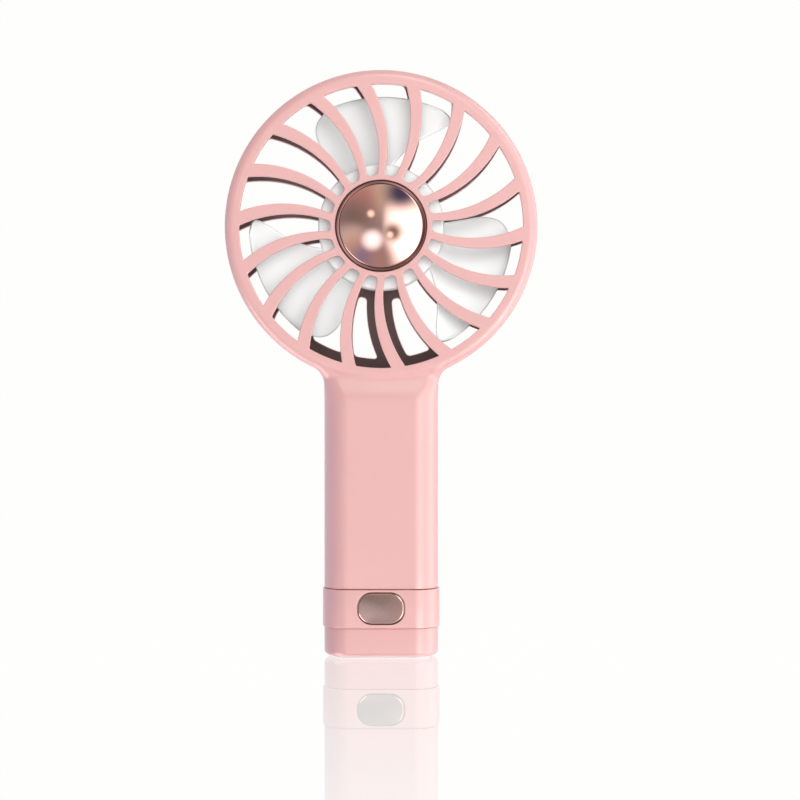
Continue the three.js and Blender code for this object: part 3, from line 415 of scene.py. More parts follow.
# ---- The housing's shells ----


def face_depth(x, z, side):
    """How far a shell's face stands from the mid-plane: the head's disc and the handle, blended."""
    edge = HEAD_EDGE[side]
    past_rim = math.hypot(x, z - HEAD_Z) - (HEAD_R - edge)
    if past_rim <= 0:
        disc = HEAD_DEPTH
    elif past_rim < edge:
        disc = HEAD_DEPTH - edge + math.sqrt(edge**2 - past_rim**2)
    else:
        disc = 0.0
    handle = lerp(HANDLE_DEPTH, NECK_DEPTH, smoothstep(z, SHOULDER_LOW, SHOULDER_HIGH))
    return smooth_max(disc, handle, NECK_BLEND)


def silhouette():
    """(x, z, inward x, inward z) from the right foot up round the head and down to the left foot."""
    fillet_x = HANDLE_W + NECK_FILLET
    fillet_z = HEAD_Z - math.sqrt((HEAD_R + NECK_FILLET) ** 2 - fillet_x**2)
    meet = math.atan2(HEAD_Z - fillet_z, -fillet_x)
    heights = [FOOT_Z + FOOT_ROUND] + spread(FOOT_Z + 6, SHOULDER_LOW - 2, 8)
    heights += spread(SHOULDER_LOW - 1, fillet_z, 14)
    right = [(HANDLE_W, z, -1.0, 0.0) for z in heights]
    for a in spread(math.pi, meet, 16)[1:]:
        c, s = math.cos(a), math.sin(a)
        right.append((fillet_x + NECK_FILLET * c, fillet_z + NECK_FILLET * s, c, s))
    for a in spread(meet - math.pi, math.pi / 2, 120)[1:]:
        c, s = math.cos(a), math.sin(a)
        right.append((HEAD_R * c, HEAD_Z + HEAD_R * s, -c, -s))
    left = [(-x, z, -nx, nz) for x, z, nx, nz in reversed(right[:-1])]
    return right + left


def flank_ring(line, turn, side):
    """One ring of a shell's rounded edge, from 0 at its side wall to a quarter turn at its face."""
    ring = []
    for x, z, nx, nz in line:
        head = smoothstep(z, SHOULDER_LOW - 1, NECK_HIGH)
        reach = lerp(HANDLE_SIDE, HEAD_EDGE[side], head)
        wall = lerp(FLANK_START, HEAD_DEPTH - HEAD_EDGE[side], head)
        depth = face_depth(x + reach * nx, z + reach * nz, side)
        inset = reach * (1 - math.cos(turn))
        y = wall + (depth - wall) * math.sin(turn)
        ring.append((x + inset * nx, side * y, z + inset * nz))
    return ring


def section_point(x, y, inset, side):
    """A point of the handle's section moved in from the surface."""
    flat = HANDLE_W - HANDLE_SIDE
    beyond = max(abs(x) - flat, 0.0)
    nx = beyond / HANDLE_SIDE**2
    ny = abs(y) / HANDLE_DEPTH**2
    length = math.hypot(nx, ny)
    if abs(y) <= SEAM_ROUND + MATING:
        return math.copysign(abs(x) - inset, x), y
    return math.copysign(abs(x) - inset * nx / length, x), side * (abs(y) - inset * ny / length)


def shell_outside(skin, side):
    """The outer skin, up to the loop round its face. Returns the seam, the foot line and that loop."""
    line = silhouette()
    seam = skin.add([(x + SEAM_ROUND * nx, side * MATING, z) for x, z, nx, nz in line])
    rings = [seam]
    for a in spread(math.pi / 8, math.pi / 2, 4):
        inset, y = SEAM_ROUND * (1 - math.sin(a)), side * (MATING + SEAM_ROUND * (1 - math.cos(a)))
        rings.append(skin.add([(x + inset * nx, y, z + inset * nz) for x, z, nx, nz in line]))
    for turn in spread(0, math.pi / 2, FLANK_STEPS + 1):
        rings.append(skin.add(flank_ring(line, turn, side)))
    edge = flank_ring(line, math.pi / 2, side)
    support = []
    for (x, _, z), (_, _, nx, nz) in zip(edge, line):
        x, z = x + SUPPORT * nx, z + SUPPORT * nz
        support.append((x, side * face_depth(x, z, side), z))
    rings.append(skin.add(support))
    skin.chain(rings)
    foot_flat = skin.add([(x, side * HANDLE_DEPTH, FOOT_Z + FOOT_ROUND) for x in FOOT_FLAT_X])
    foot = [ring[0] for ring in rings] + foot_flat + [ring[-1] for ring in reversed(rings)]
    face_loop = rings[-1] + list(reversed(foot_flat))
    return seam, foot, face_loop


def neck_points(skin, face_loop, side):
    """Points that carry the neck's shape inside the face's loop, clear of it and of the slots."""
    boundary = [(skin.points[i][0], skin.points[i][2]) for i in face_loop]
    past_slots = FRONT_SLOT[1] + 0.7
    clear = 0.5
    spots = []
    for z in spread(NECK_LOW, NECK_HIGH - 0.8, 34):
        for x in spread(-19, 19, 48):
            if math.hypot(x, z - HEAD_Z) < past_slots:
                continue
            if min(math.dist((x, z), p) for p in boundary) < clear:
                continue
            if inside_loop(x, z, boundary):
                spots.append((x, side * face_depth(x, z, side), z))
    return skin.add(spots)


def inside_loop(x, z, loop):
    inside = False
    for i, (x1, z1) in enumerate(loop):
        x0, z0 = loop[i - 1]
        if (z1 > z) != (z0 > z) and x < (x0 - x1) * (z - z1) / (z0 - z1) + x1:
            inside = not inside
    return inside


def handle_pocket(skin, foot, side, look):
    """The foot's rounded end and the hollow that holds the cell. Returns its edge on the mating face."""
    rows = []
    for a in spread(math.pi / 8, math.pi / 2, 4):
        rows.append((FOOT_ROUND * (1 - math.cos(a)), FOOT_Z + FOOT_ROUND * (1 - math.sin(a))))
    rows.append((HANDLE_WALL, FOOT_Z))
    rings = [foot]
    for inset, z in rows:
        ring = []
        for index in foot:
            x, y, _ = skin.points[index]
            ring.append((*section_point(x, y, inset, side), z))
        rings.append(skin.add(ring))
    skin.chain(rings, 0)
    inner = [rings[-1]]
    for z in POCKET_LEVELS:
        thinner = face_depth(0, min(z, POCKET_TAPER_TOP), side) - HANDLE_DEPTH
        ring = []
        for index in rings[-1]:
            x, y, _ = skin.points[index]
            shrink = 1 + thinner / (HANDLE_DEPTH - HANDLE_WALL) if abs(y) > 1 else 1
            ring.append((x, y * shrink, z))
        inner.append(skin.add(ring))
    skin.chain(inner, look)
    skin.fill([inner[-1]], look, axes=(0, 1))
    right = [ring[0] for ring in rings[1:] + inner[1:]]
    left = [ring[-1] for ring in rings[1:] + inner[1:]]
    return right, left


def motor_seat(skin, floor, look):
    """The ring round the motor, the room for its back, and its bracket's bosses. Returns their feet."""
    ease = 0.1
    front = MOTOR_RING_FRONT
    ring = [(MOTOR_RING_R, floor), (MOTOR_RING_R, front + ease), (MOTOR_RING_R - ease, front)]
    ring += [(MOTOR_ROOM_R + ease, front), (MOTOR_ROOM_R, front + ease)]
    ring += [(MOTOR_ROOM_R, MOTOR_ROOM_BACK), (0, MOTOR_ROOM_BACK)]
    boss = [(BOSS_R, floor), (BOSS_R, BOSS_FRONT + ease), (BOSS_R - ease, BOSS_FRONT)]
    boss += [(PILOT_R, BOSS_FRONT), (PILOT_R, floor), (0, floor)]
    feet = [lathe(skin, ring, look=look)[0]]
    for x in (-BOSS_X, BOSS_X):
        feet.append(lathe(skin, boss, (x, HEAD_Z), 32, look)[0])
    return feet


def shell(side, slots, rib):
    """One half of the housing: look 0 is its glossy outside, look 1 its inside, in a dark colour that
    paints the shade there.
    """
    skin = Skin()
    seam, foot, face_loop = shell_outside(skin, side)
    right, left = handle_pocket(skin, foot, side, 1)
    back = HEAD_DEPTH - rib
    holes, backs = [], []
    slot_levels = cut_levels(HEAD_DEPTH, back, RIB_ROUND, RIB_BACK_ROUND)
    for loop in slots:
        front_ring, back_ring = cut_wall(skin, loop, slot_levels, side)
        holes.append(front_ring)
        backs.append(back_ring)
    if side == FRONT:
        # The seat's wall and floor take the dark inner colour, painted shade in the gap round the dome
        seat_levels = cut_levels(HEAD_DEPTH, HEAD_DEPTH - SEAT_DEPTH, SEAT_ROUND)
        seat_front, seat_back = cut_wall(skin, circle(SEAT_R), seat_levels, side, 1)
        holes.append(seat_front)
        skin.fill([seat_back], 1)
    skin.fill([face_loop] + holes, 0, neck_points(skin, face_loop, side))
    chamber = [
        skin.add([(x, side * y, z) for x, z in circle(radius, count=192)])
        for radius, y in ((CHAMBER_R, MATING), (CHAMBER_R, back), (CHAMBER_R - SUPPORT, back))
    ]
    skin.chain(chamber, 1, True)
    feet = motor_seat(skin, back, 1) if side == REAR else []
    skin.fill([chamber[-1]] + backs + feet, 1)
    rim = seam + left + list(reversed(right))
    skin.fill([rim, chamber[0]], 1)
    return skin


# ---- Impeller ----

# The two long edges of the blade that points up, as (radius, degrees round from the top)
LEADING_EDGE = ((20.0, -35.4), (27.0, -36.4), (33.0, -36.8), (38.0, -34.8), (41.4, -30.2), (43.3, -22.0))
TRAILING_EDGE = (
    (20.0, 9.5), (26.0, 17.6), (31.5, 24.4), (36.5, 30.6), (40.5, 33.4), (42.4, 32.2), (43.3, 27.0)
)
BLADE_FRONT, BLADE_BACK = -4.1, 4.0
BLADE_TAPER, BLADE_CAMBER = 0.22, 3.6


def through(pairs, x):
    """A smooth curve through (x, y) pairs."""
    last = len(pairs) - 2
    i = next((n for n in range(last) if x < pairs[n + 1][0]), last)
    (x0, y0), (x1, y1) = pairs[i], pairs[i + 1]

    def slope(n):
        a, b = pairs[max(n - 1, 0)], pairs[min(n + 1, len(pairs) - 1)]
        return (b[1] - a[1]) / (b[0] - a[0])

    t = (x - x0) / (x1 - x0)
    step = x1 - x0
    return (
        (2 * t**3 - 3 * t**2 + 1) * y0
        + (t**3 - 2 * t**2 + t) * step * slope(i)
        + (3 * t**2 - 2 * t**3) * y1
        + (t**3 - t**2) * step * slope(i + 1)
    )


def blade_point(radius, across):
    """The blade's middle surface, across from its front trailing edge to its deep leading edge."""
    angle = math.radians(lerp(through(TRAILING_EDGE, radius), through(LEADING_EDGE, radius), across))
    along = (radius - HUB_R) / (BLADE_TIP_R - HUB_R)
    pitch = (1 - BLADE_TAPER * along) * lerp(BLADE_FRONT, BLADE_BACK, across)
    y = pitch + BLADE_CAMBER * across * (1 - across)
    return Vector((radius * math.sin(angle), y, radius * math.cos(angle)))


def blade(skin, turn):
    """One blade with rounded edges, as a closed sheet that starts inside the hub."""
    radii = spread(BLADE_ROOT_R, 41.0, 22) + [41.6, 42.1, 42.5, 42.8, 43.05, 43.2, BLADE_TIP_R]
    shares = [0, 0.004, 0.012, 0.025] + spread(0.05, 0.95, 30) + [0.975, 0.988, 0.996, 1]
    step = 0.01
    sheets = {1: [], -1: []}
    for radius in radii:
        rows = {1: [], -1: []}
        for share in shares:
            spot = blade_point(radius, share)
            du = blade_point(min(radius + step, BLADE_TIP_R), share) - blade_point(radius - step, share)
            dv = blade_point(radius, min(share + step, 1)) - blade_point(radius, max(share - step, 0))
            normal = du.cross(dv).normalized()
            width = BLADE_SPAN * radius
            edge = min(share * width, (1 - share) * width, BLADE_TIP_R - radius)
            half = BLADE_THICK / 2 * math.sqrt(max(1 - (1 - min(edge / BLADE_NOSE, 1)) ** 2, 0))
            for way in (1, -1):
                p = spot + normal * half * way
                x = p.x * math.cos(turn) + p.z * math.sin(turn)
                z = p.z * math.cos(turn) - p.x * math.sin(turn)
                rows[way].append((x, p.y, HEAD_Z + z))
        for way in (1, -1):
            sheets[way].append(skin.add(rows[way]))
    for way in (1, -1):
        skin.chain(sheets[way])
    skin.bridge(sheets[1][0], sheets[-1][0])


def impeller():
    """The hub cup, the sleeve inside it that takes the shaft, and the blades."""
    skin = Skin()
    inside = HUB_R - 1.3
    face, rim = impeller_low.y, impeller_high.y
    floor = face + 1.5
    profile = [(0, face)]
    profile += [(HUB_R - HUB_ROUND + x, face + HUB_ROUND - y) for x, y in arc(0, 0, HUB_ROUND, 90, 0, 8)]
    profile += [(HUB_R, rim - 0.3), (HUB_R - 0.3, rim), (inside, rim)]
    profile += [(inside, face + 2.1), (inside - 0.6, floor)]
    profile += [(SLEEVE_R + 0.2, floor), (SLEEVE_R, face + 1.7), (SLEEVE_R, SLEEVE_BACK)]
    profile += [(BORE_R, SLEEVE_BACK), (BORE_R, face + 1), (0, face + 1)]
    lathe(skin, profile, segments=144)
    for i in range(BLADES):
        blade(skin, i * 2 * math.pi / BLADES)
    return skin


# ---- Dome and button ----


def dome():
    """A mirror crown inside a sunk ring: look 0 is the crown, look 1 the ring round it, a darker copy of
    the crown's metal that paints the ring's shade.
    """
    crown = [
        (CROWN_BALL * math.sin(a), dome_low.y + CROWN_BALL * (1 - math.cos(a)))
        for a in spread(0, math.asin(CROWN_R / CROWN_BALL), 40)
    ]
    edge_y = crown[-1][1]
    crown += [(CROWN_R + 0.07, edge_y + 0.07), (CROWN_R + 0.1, edge_y + 0.16)]
    crown += [(CROWN_R + 0.1, RING_VALLEY)]
    lip = [(DOME_R - 0.12, RING_TOP), (DOME_R - 0.05, RING_TOP + 0.02), (DOME_R, RING_TOP + 0.1)]
    seat = -HEAD_DEPTH + 1.4
    under = [(DOME_R, seat), (DOME_R - 1.1, seat), (DOME_R - 1.1, -HEAD_DEPTH), (0, -HEAD_DEPTH)]
    skin = Skin()
    rings = lathe(skin, crown, segments=160)
    outer = lathe(skin, lip + under, segments=160, look=1)
    skin.bridge(rings[-1], outer[0], 1, True)
    return skin


def power_button():
    """A pill with a crowned satin face, a polished bevel and a flange that holds it in the collar."""
    skin = Skin()
    outline = pill(BUTTON_W, BUTTON_H, BUTTON_CORNER, BUTTON_Z)
    face = -button_low.y - BUTTON_CROWN
    rings = []
    # Each ring's distance out from the outline and forward, and the look of the strip that ends there
    levels = [
        (-BUTTON_BEVEL - SUPPORT, face, 0),
        (-BUTTON_BEVEL, face, 0),
        (-BUTTON_BEVEL + 0.08, face - 0.02, 1),
        (-BUTTON_BEVEL + 0.15, face - 0.06, 1),
        (-0.1, face - 0.31, 1),
        (-0.03, face - 0.4, 1),
        (0, face - 0.6, 1),
        (0, FLANGE_FRONT, 1),
        (FLANGE_OUT, FLANGE_FRONT, 1),
        (FLANGE_OUT, -button_high.y, 1),
    ]
    for by, depth, _ in levels:
        rings.append(skin.add([(x, -depth, z) for x, z in grown(outline, by)]))
    for i, (_, _, look) in enumerate(levels[1:]):
        skin.bridge(rings[i], rings[i + 1], look, True)
    crown = [rings[0]]
    rim = [skin.points[i] for i in rings[0]]
    for share in (0.97, 0.9, 0.78, 0.62, 0.44, 0.24, 0.08):
        rise = BUTTON_CROWN * (1 - share**2)
        crown.append(skin.add([(x * share, y - rise, lerp(BUTTON_Z, z, share)) for x, y, z in rim]))
    skin.chain(crown, 0, True)
    skin.fill([crown[-1]], 0)
    skin.fill([rings[-1]], 1)
    return skin


# ---- Collar, cap and pad ----


FLAT_X = (-9.0, -4.5, 0.0, 4.5, 9.0)
FLANK_POINTS = 41


def section_ring(skin, half_w, half_d, side, inset, z):
    """The handle's section moved in by inset, as a ring that starts with its front flat, left to right."""
    half_w, half_d, side = half_w - inset, half_d - inset, max(side - inset, 1.0)
    flat = half_w - side
    turns = spread(-math.pi / 2, math.pi / 2, FLANK_POINTS)
    ring = [(x, -half_d, z) for x in FLAT_X]
    ring += [(flat + side * math.cos(t), half_d * math.sin(t), z) for t in turns]
    ring += [(-x, half_d, z) for x in FLAT_X]
    ring += [(-flat - side * math.cos(t), -half_d * math.sin(t), z) for t in turns]
    return skin.add(ring)


def rounded_rows(low, high, radius, steps=5):
    """(inset, z) of the rows up a wall with its bottom and top edges rounded."""
    rows = []
    for a in spread(0, math.pi / 2, steps):
        rows.append((radius * (1 - math.sin(a)), low + radius * (1 - math.cos(a))))
    for a in spread(math.pi / 2, 0, steps):
        rows.append((radius * (1 - math.sin(a)), high - radius * (1 - math.cos(a))))
    return rows


def strip_between(skin, lower, upper, look, panels):
    """Joins two section rings, leaving out the flats that panels fill."""
    count = len(lower)
    flats = len(FLAT_X)
    for i in range(count):
        j = (i + 1) % count
        front = i < flats or i == count - 1
        rear_start = flats + FLANK_POINTS
        rear = rear_start - 1 <= i < rear_start + flats
        if (front and FRONT in panels) or (rear and REAR in panels):
            continue
        skin.face((lower[i], lower[j], upper[j], upper[i]), look)


def flat_chain(ring, side):
    """The vertices of a section ring along its front or rear flat, with the flanks' first points."""
    flats = len(FLAT_X)
    if side == FRONT:
        return [ring[-1]] + ring[: flats + 1]
    start = flats + FLANK_POINTS - 1
    return ring[start : start + flats + 2]


def collar():
    """A band with its two flats filled round the button's, the port's and the lens's openings."""
    skin = Skin()
    half_w, half_d = collar_high.x, collar_high.y
    rows = rounded_rows(collar_low.z, collar_high.z, COLLAR_EDGE)
    rows += [(COLLAR_WALL, collar_high.z), (COLLAR_WALL, collar_low.z)]
    rings = [section_ring(skin, half_w, half_d, COLLAR_SIDE, inset, z) for inset, z in rows]
    outer, inner = rings[:-2], rings[-2:]
    middle = len(outer) // 2 - 1
    for i, (a, b) in enumerate(zip(outer, outer[1:])):
        strip_between(skin, a, b, 0, (FRONT, REAR) if i == middle else ())
    skin.bridge(outer[-1], inner[0], 0, True)
    strip_between(skin, inner[0], inner[1], 1, (FRONT, REAR))
    skin.bridge(inner[1], outer[0], 0, True)
    openings = {
        FRONT: [pill(BUTTON_W + BUTTON_GAP, BUTTON_H + BUTTON_GAP, BUTTON_CORNER + BUTTON_GAP, BUTTON_Z)],
        REAR: [
            pill(usb_high.x + PORT_GAP, USB_H + PORT_GAP, PORT_OPENING_CORNER, USB_Z, 10),
            circle(LENS_OPENING_R, LENS_X, LENS_Z, 40),
        ],
    }
    levels = cut_levels(half_d, half_d - COLLAR_WALL, OPENING_ROUND)
    for way, loops in openings.items():
        # The deepest strip of each opening's wall takes the dark inner colour, painted shade
        walls = [cut_wall(skin, loop, levels, way, 0, 1) for loop in loops]
        low, high = flat_chain(outer[middle], way), flat_chain(outer[middle + 1], way)
        skin.fill([low + high[::-1]] + [w[0] for w in walls], 0)
        low, high = flat_chain(inner[1], way), flat_chain(inner[0], way)
        skin.fill([low + high[::-1]] + [w[1] for w in walls], 1)
    return skin


def bottom_cap():
    """An open cup with a recess under it for the pad."""
    skin = Skin()
    top = collar_low.z - CAP_GAP
    rows = []
    for a in spread(0, math.pi / 2, 9):
        rows.append((CAP_ROUND * (1 - math.sin(a)), cap_low.z + CAP_ROUND * (1 - math.cos(a))))
    for a in spread(math.pi / 2, 0, 5):
        rows.append((CAP_TOP_ROUND * (1 - math.sin(a)), top - CAP_TOP_ROUND * (1 - math.cos(a))))
    rows += [(CAP_WALL, top), (CAP_WALL, CAP_FLOOR)]
    rows += [(PAD_RECESS, cap_low.z), (PAD_RECESS, pad_high.z + 0.2)]
    rings = [section_ring(skin, cap_high.x, cap_high.y, HANDLE_SIDE, inset, z) for inset, z in rows]
    outer, recess = rings[:-2], rings[-2:]
    skin.chain(outer, 0, True)
    skin.fill([outer[-1]], 1, axes=(0, 1))
    skin.bridge(outer[0], recess[0], 0, True)
    skin.bridge(recess[0], recess[1], 0, True)
    skin.fill([recess[1]], 0, axes=(0, 1))
    return skin


def foot_pad():
    """A flat pad with its edges rounded."""
    skin = Skin()
    rows = rounded_rows(pad_low.z, pad_high.z, 0.3, 4)
    side = HANDLE_SIDE - PAD_RECESS - 0.2
    rings = [section_ring(skin, pad_high.x, pad_high.y, side, inset, z) for inset, z in rows]
    skin.chain(rings, 0, True)
    skin.fill([rings[0]], 0, axes=(0, 1))
    skin.fill([rings[-1]], 0, axes=(0, 1))
    return skin


# ---- Fasteners, port and lens ----


def screw_places():
    """(x, z) of each screw that holds the shells together."""
    boxes = [box_mm(f"shell_screw_{i}") for i in SCREWS]
    return [((low.x + high.x) / 2, (low.z + high.z) / 2) for low, high in boxes]


def cross(reach, half_arm, cx, cz):
    """A cross-shaped loop with tapered arms."""
    corner = half_arm * 1.25
    quarter = [(reach, -half_arm), (reach, half_arm), (corner, corner)]
    loop = []
    for turn in range(4):
        for x, z in quarter:
            for _ in range(turn):
                x, z = -z, x
            loop.append((cx + x, cz + z))
    return loop


def screws():
    """Pan heads with cross recesses, on plain shanks."""
    skin = Skin()
    tip = SCREW_SEAT - SCREW_LENGTH
    shank = [(0, tip), (SHANK_R, tip + 1.2), (SHANK_R, SCREW_SEAT - 0.05), (SHANK_R + 0.05, SCREW_SEAT)]
    head = [(SCREW_R - 0.08, SCREW_SEAT), (SCREW_R, SCREW_SEAT + 0.08), (SCREW_R, SCREW_SEAT + 0.45)]
    head += arc(SCREW_R - 0.75, SCREW_SEAT + 0.45, 0.75, 0, 90, 8)[1:]
    for cx, cz in screw_places():
        rings = lathe(skin, shank + head, (cx, cz), 48)
        recess = [
            skin.add([(x, SCREW_TOP - depth, z) for x, z in cross(reach, half_arm, cx, cz)])
            for reach, half_arm, depth in ((1.0, 0.21, 0.5), (0.97, 0.19, 0.54), (0.55, 0.12, 1.0))
        ]
        skin.chain(recess, 0, True)
        skin.fill([rings[-1], recess[0]], 0)
        skin.fill([recess[-1]], 0)
    return skin


def sink_screws(piece):
    """Cuts the counterbores for the screws' heads into the rear housing."""
    skin = Skin()
    outside = 20
    bore = [(0, COUNTERBORE_SEAT), (COUNTERBORE_R, COUNTERBORE_SEAT)]
    bore += [(COUNTERBORE_R, outside), (0, outside)]
    for middle in screw_places():
        lathe(skin, bore, middle, 64)
    cutter = make_piece("counterbore_cutter", skin, PINK)
    cut = piece.modifiers.new("counterbores", "BOOLEAN")
    cut.operation = "DIFFERENCE"
    cut.solver = "EXACT"
    cut.object = cutter
    bpy.context.view_layer.update()
    done = piece.evaluated_get(bpy.context.evaluated_depsgraph_get())
    mesh = bpy.data.meshes.new_from_object(done)
    piece.modifiers.clear()
    piece.data = mesh
    mesh.name = piece.name
    bpy.data.objects.remove(cutter)
    mesh.set_sharp_from_angle(angle=math.radians(50))


def port_shell():
    """The charging port's plated mouth, with rolled lips."""
    skin = Skin()
    outline = pill(usb_high.x, USB_H, PORT_CORNER, USB_Z)
    back, mouth = usb_low.y, usb_high.y
    levels = [(0, back + 0.2), (0, mouth - 0.12), (-0.04, mouth - 0.03), (-0.13, mouth)]
    levels += [(-0.24, mouth - 0.03), (-0.3, mouth - 0.12), (-0.3, back + 1.4)]
    rings = [skin.add([(x, y, z) for x, z in grown(outline, by)]) for by, y in levels]
    end = skin.add([(x, back, z) for x, z in grown(outline, -0.2)])
    skin.chain([end] + rings, 0, True)
    skin.fill([end], 0)
    skin.fill([rings[-1]], 0)
    return skin


def lens():
    """A light guide with a domed end."""
    skin = Skin()
    profile = [(0, lens_low.y), (LENS_R, lens_low.y)]
    for a in spread(0, math.pi / 2, 10)[:-1]:
        profile.append((LENS_R * math.cos(a), lens_high.y - LENS_CROWN * (1 - math.sin(a))))
    lathe(skin, profile + [(0, lens_high.y)], (LENS_X, LENS_Z), 48)
    return skin


# ---- Materials ----


def srgb(red, green, blue):
    """Linear colour from 0-255 display values."""

    def channel(value):
        value /= 255
        return value / 12.92 if value <= 0.04045 else ((value + 0.055) / 1.055) ** 2.4

    return channel(red), channel(green), channel(blue), 1.0


WHITE = srgb(254, 254, 252)
MIX_A, MIX_B, MIX_OUT = 6, 7, 2  # the colour sockets of a Mix node


def add_node(tree, kind, **sockets):
    """A new shader node with the named input sockets set."""
    node = tree.nodes.new("ShaderNode" + kind)
    for socket, value in sockets.items():
        node.inputs[socket.replace("_", " ")].default_value = value
    return node


def join(tree, *wires):
    """Makes links, each given as (node, output, node, input)."""
    for source, output, target, socket in wires:
        tree.links.new(source.outputs[output], target.inputs[socket])


def new_tree(name, cleared=True):
    """A new material and its node tree."""
    material = bpy.data.materials.new(name)
    material.use_nodes = True
    if cleared:
        material.node_tree.nodes.clear()
    return material, material.node_tree


def shaded(name, color, roughness, metallic=0.0, **constants):
    """Adds a principled material whose colour, roughness and fine relief vary as stated."""
    look = {"mottle": 0.03, "mottle_mm": 14.0, "rough_spread": 0.05, "grain_mm": 0.35, "relief": 0.04}
    look.update({k: constants.pop(k) for k in list(constants) if k in look})
    material, tree = new_tree(name, False)
    surface = tree.nodes["Principled BSDF"]
    surface.inputs["Metallic"].default_value = metallic
    for socket, value in constants.items():
        surface.inputs[socket.replace("_", " ")].default_value = value
    coords = add_node(tree, "TexCoord")
    coarse = add_node(tree, "TexNoise", Scale=1 / (look["mottle_mm"] * MM), Detail=3)
    tint = add_node(tree, "Mix")
    tint.data_type = "RGBA"
    for socket, way in ((MIX_A, -1), (MIX_B, 1)):
        varied = [min(c * (1 + way * look["mottle"]), 1.0) for c in srgb(*color)[:3]]
        tint.inputs[socket].default_value = (*varied, 1.0)
    fine = add_node(tree, "TexNoise", Scale=1 / (look["grain_mm"] * MM), Detail=2)
    smoothest, roughest = max(roughness - look["rough_spread"], 0.0), roughness + look["rough_spread"]
    rough = add_node(tree, "MapRange", To_Min=smoothest, To_Max=roughest)
    bump = add_node(tree, "Bump", Strength=look["relief"], Distance=0.05 * MM)
    join(
        tree,
        (coords, "Object", coarse, "Vector"),
        (coarse, "Fac", tint, "Factor"),
        (tint, MIX_OUT, surface, "Base Color"),
        (coords, "Object", fine, "Vector"),
        (fine, "Fac", rough, "Value"),
        (rough, "Result", surface, "Roughness"),
        (fine, "Fac", bump, "Height"),
        (bump, "Normal", surface, "Normal"),
    )
    MATERIALS[name] = material


shaded("pink_plastic", (227, 174, 171), 0.42, Coat_Weight=0.35, Coat_Roughness=0.25)
# A dark pink-brown that paints the shade on inner faces, in the dome's seat and deep in the collar's
# openings
shaded("painted_shade_inside", (97, 74, 73), 0.55)
shaded("rose_mirror", (157, 129, 121), 0.08, 1.0, rough_spread=0.015, relief=0.01)
# A darker copy of the dome's metal, which paints the shade on the ring round the crown
shaded("rose_ring_painted_shade", (96, 68, 64), 0.16, 1.0, rough_spread=0.03, relief=0.01)
shaded("rose_satin", (109, 90, 85), 0.26, 1.0, grain_mm=0.12, relief=0.05)
shaded("rose_bevel", (141, 115, 108), 0.12, 1.0, rough_spread=0.03, relief=0.01)
shaded("white_plastic", (241, 247, 246), 0.45, mottle=0.01, Coat_Weight=0.1)
shaded("rubber_pad", (250, 247, 246), 0.8, grain_mm=0.5, relief=0.2)
shaded("black_plastic", (38, 38, 41), 0.5)
shaded("steel", (190, 192, 196), 0.28, 1.0, grain_mm=0.2)
shaded("zinc_plate", (176, 178, 182), 0.38, 1.0, mottle=0.08, mottle_mm=3.0)
shaded("copper", (196, 120, 74), 0.35, 1.0, grain_mm=0.2, relief=0.2)
shaded("bronze", (170, 130, 82), 0.5, 1.0, mottle=0.1, mottle_mm=1.0)
shaded("ferrite", (62, 62, 66), 0.8, grain_mm=0.3, relief=0.2)
shaded("cell_sleeve", (64, 120, 182), 0.35, Coat_Weight=0.3)
shaded("insulating_paper", (230, 226, 214), 0.9, grain_mm=0.6, relief=0.3)
shaded("nickel", (204, 202, 196), 0.3, 1.0)
shaded("foam", (44, 44, 46), 0.95, grain_mm=0.4, relief=0.5)
shaded("red_insulation", (198, 50, 45), 0.4)
shaded("black_insulation", (34, 34, 36), 0.4)
shaded("circuit_board", (32, 108, 70), 0.4, mottle=0.2, mottle_mm=1.5)
shaded("clear_plastic", (244, 242, 236), 0.2, mottle=0.01, Transmission_Weight=0.3)


def dress_cad_nodes():
    """Gives every CAD node that stays in the scene the material of its slot."""
    slots = {entry["node"]: entry["material_slot"] for entry in frame["record"]["subparts"]}
    for name, node in frame["nodes"].items():
        node.data.materials.clear()
        node.data.materials.append(MATERIALS[slots[name]])


# ---- Camera, lights and stage ----

CAMERA_PLACE = Vector((0.00615, -0.850, 0.0839))
CAMERA_LENS, CAMERA_SENSOR = 116.2, 36
FLOOR_HALF, BACKDROP_R = 6, 8
FLOOR_FADE, FLOOR_MIRROR = 0.6, 0.46  # how far the mirror reaches, and its strength at the foot


def add_camera():
    camera = bpy.data.objects.new("camera", bpy.data.cameras.new("camera"))
    camera.location = CAMERA_PLACE
    camera.rotation_euler = (math.pi / 2, 0, 0)
    camera.data.lens = CAMERA_LENS
    camera.data.sensor_width = CAMERA_SENSOR
    camera.data.clip_start = 0.01
    camera.data.clip_end = 50
    bpy.context.scene.collection.objects.link(camera)
    bpy.context.scene.camera = camera


def emission(name, color):
    material, tree = new_tree(name)
    light = add_node(tree, "Emission", Color=color)
    join(tree, (light, "Emission", add_node(tree, "OutputMaterial"), "Surface"))
    return material


def lamp_for(pieces, name, centre, aim_z, size, power, glossy):
    """A soft square lamp for the given pieces alone, aimed at a height in mm on the fan's axis."""
    lamp = bpy.data.lights.new(name, "AREA")
    lamp.size = size
    lamp.energy = power
    light = bpy.data.objects.new(name, lamp)
    light.location = centre
    aim = Vector((0, 0, aim_z * MM)) - Vector(centre)
    light.rotation_euler = aim.to_track_quat("-Z", "Y").to_euler()
    light.visible_camera = False
    light.visible_glossy = glossy
    bpy.context.scene.collection.objects.link(light)
    lit = bpy.data.collections.new(name + "_pieces")
    for piece in pieces:
        lit.objects.link(piece)
    light.light_linking.receiver_collection = lit


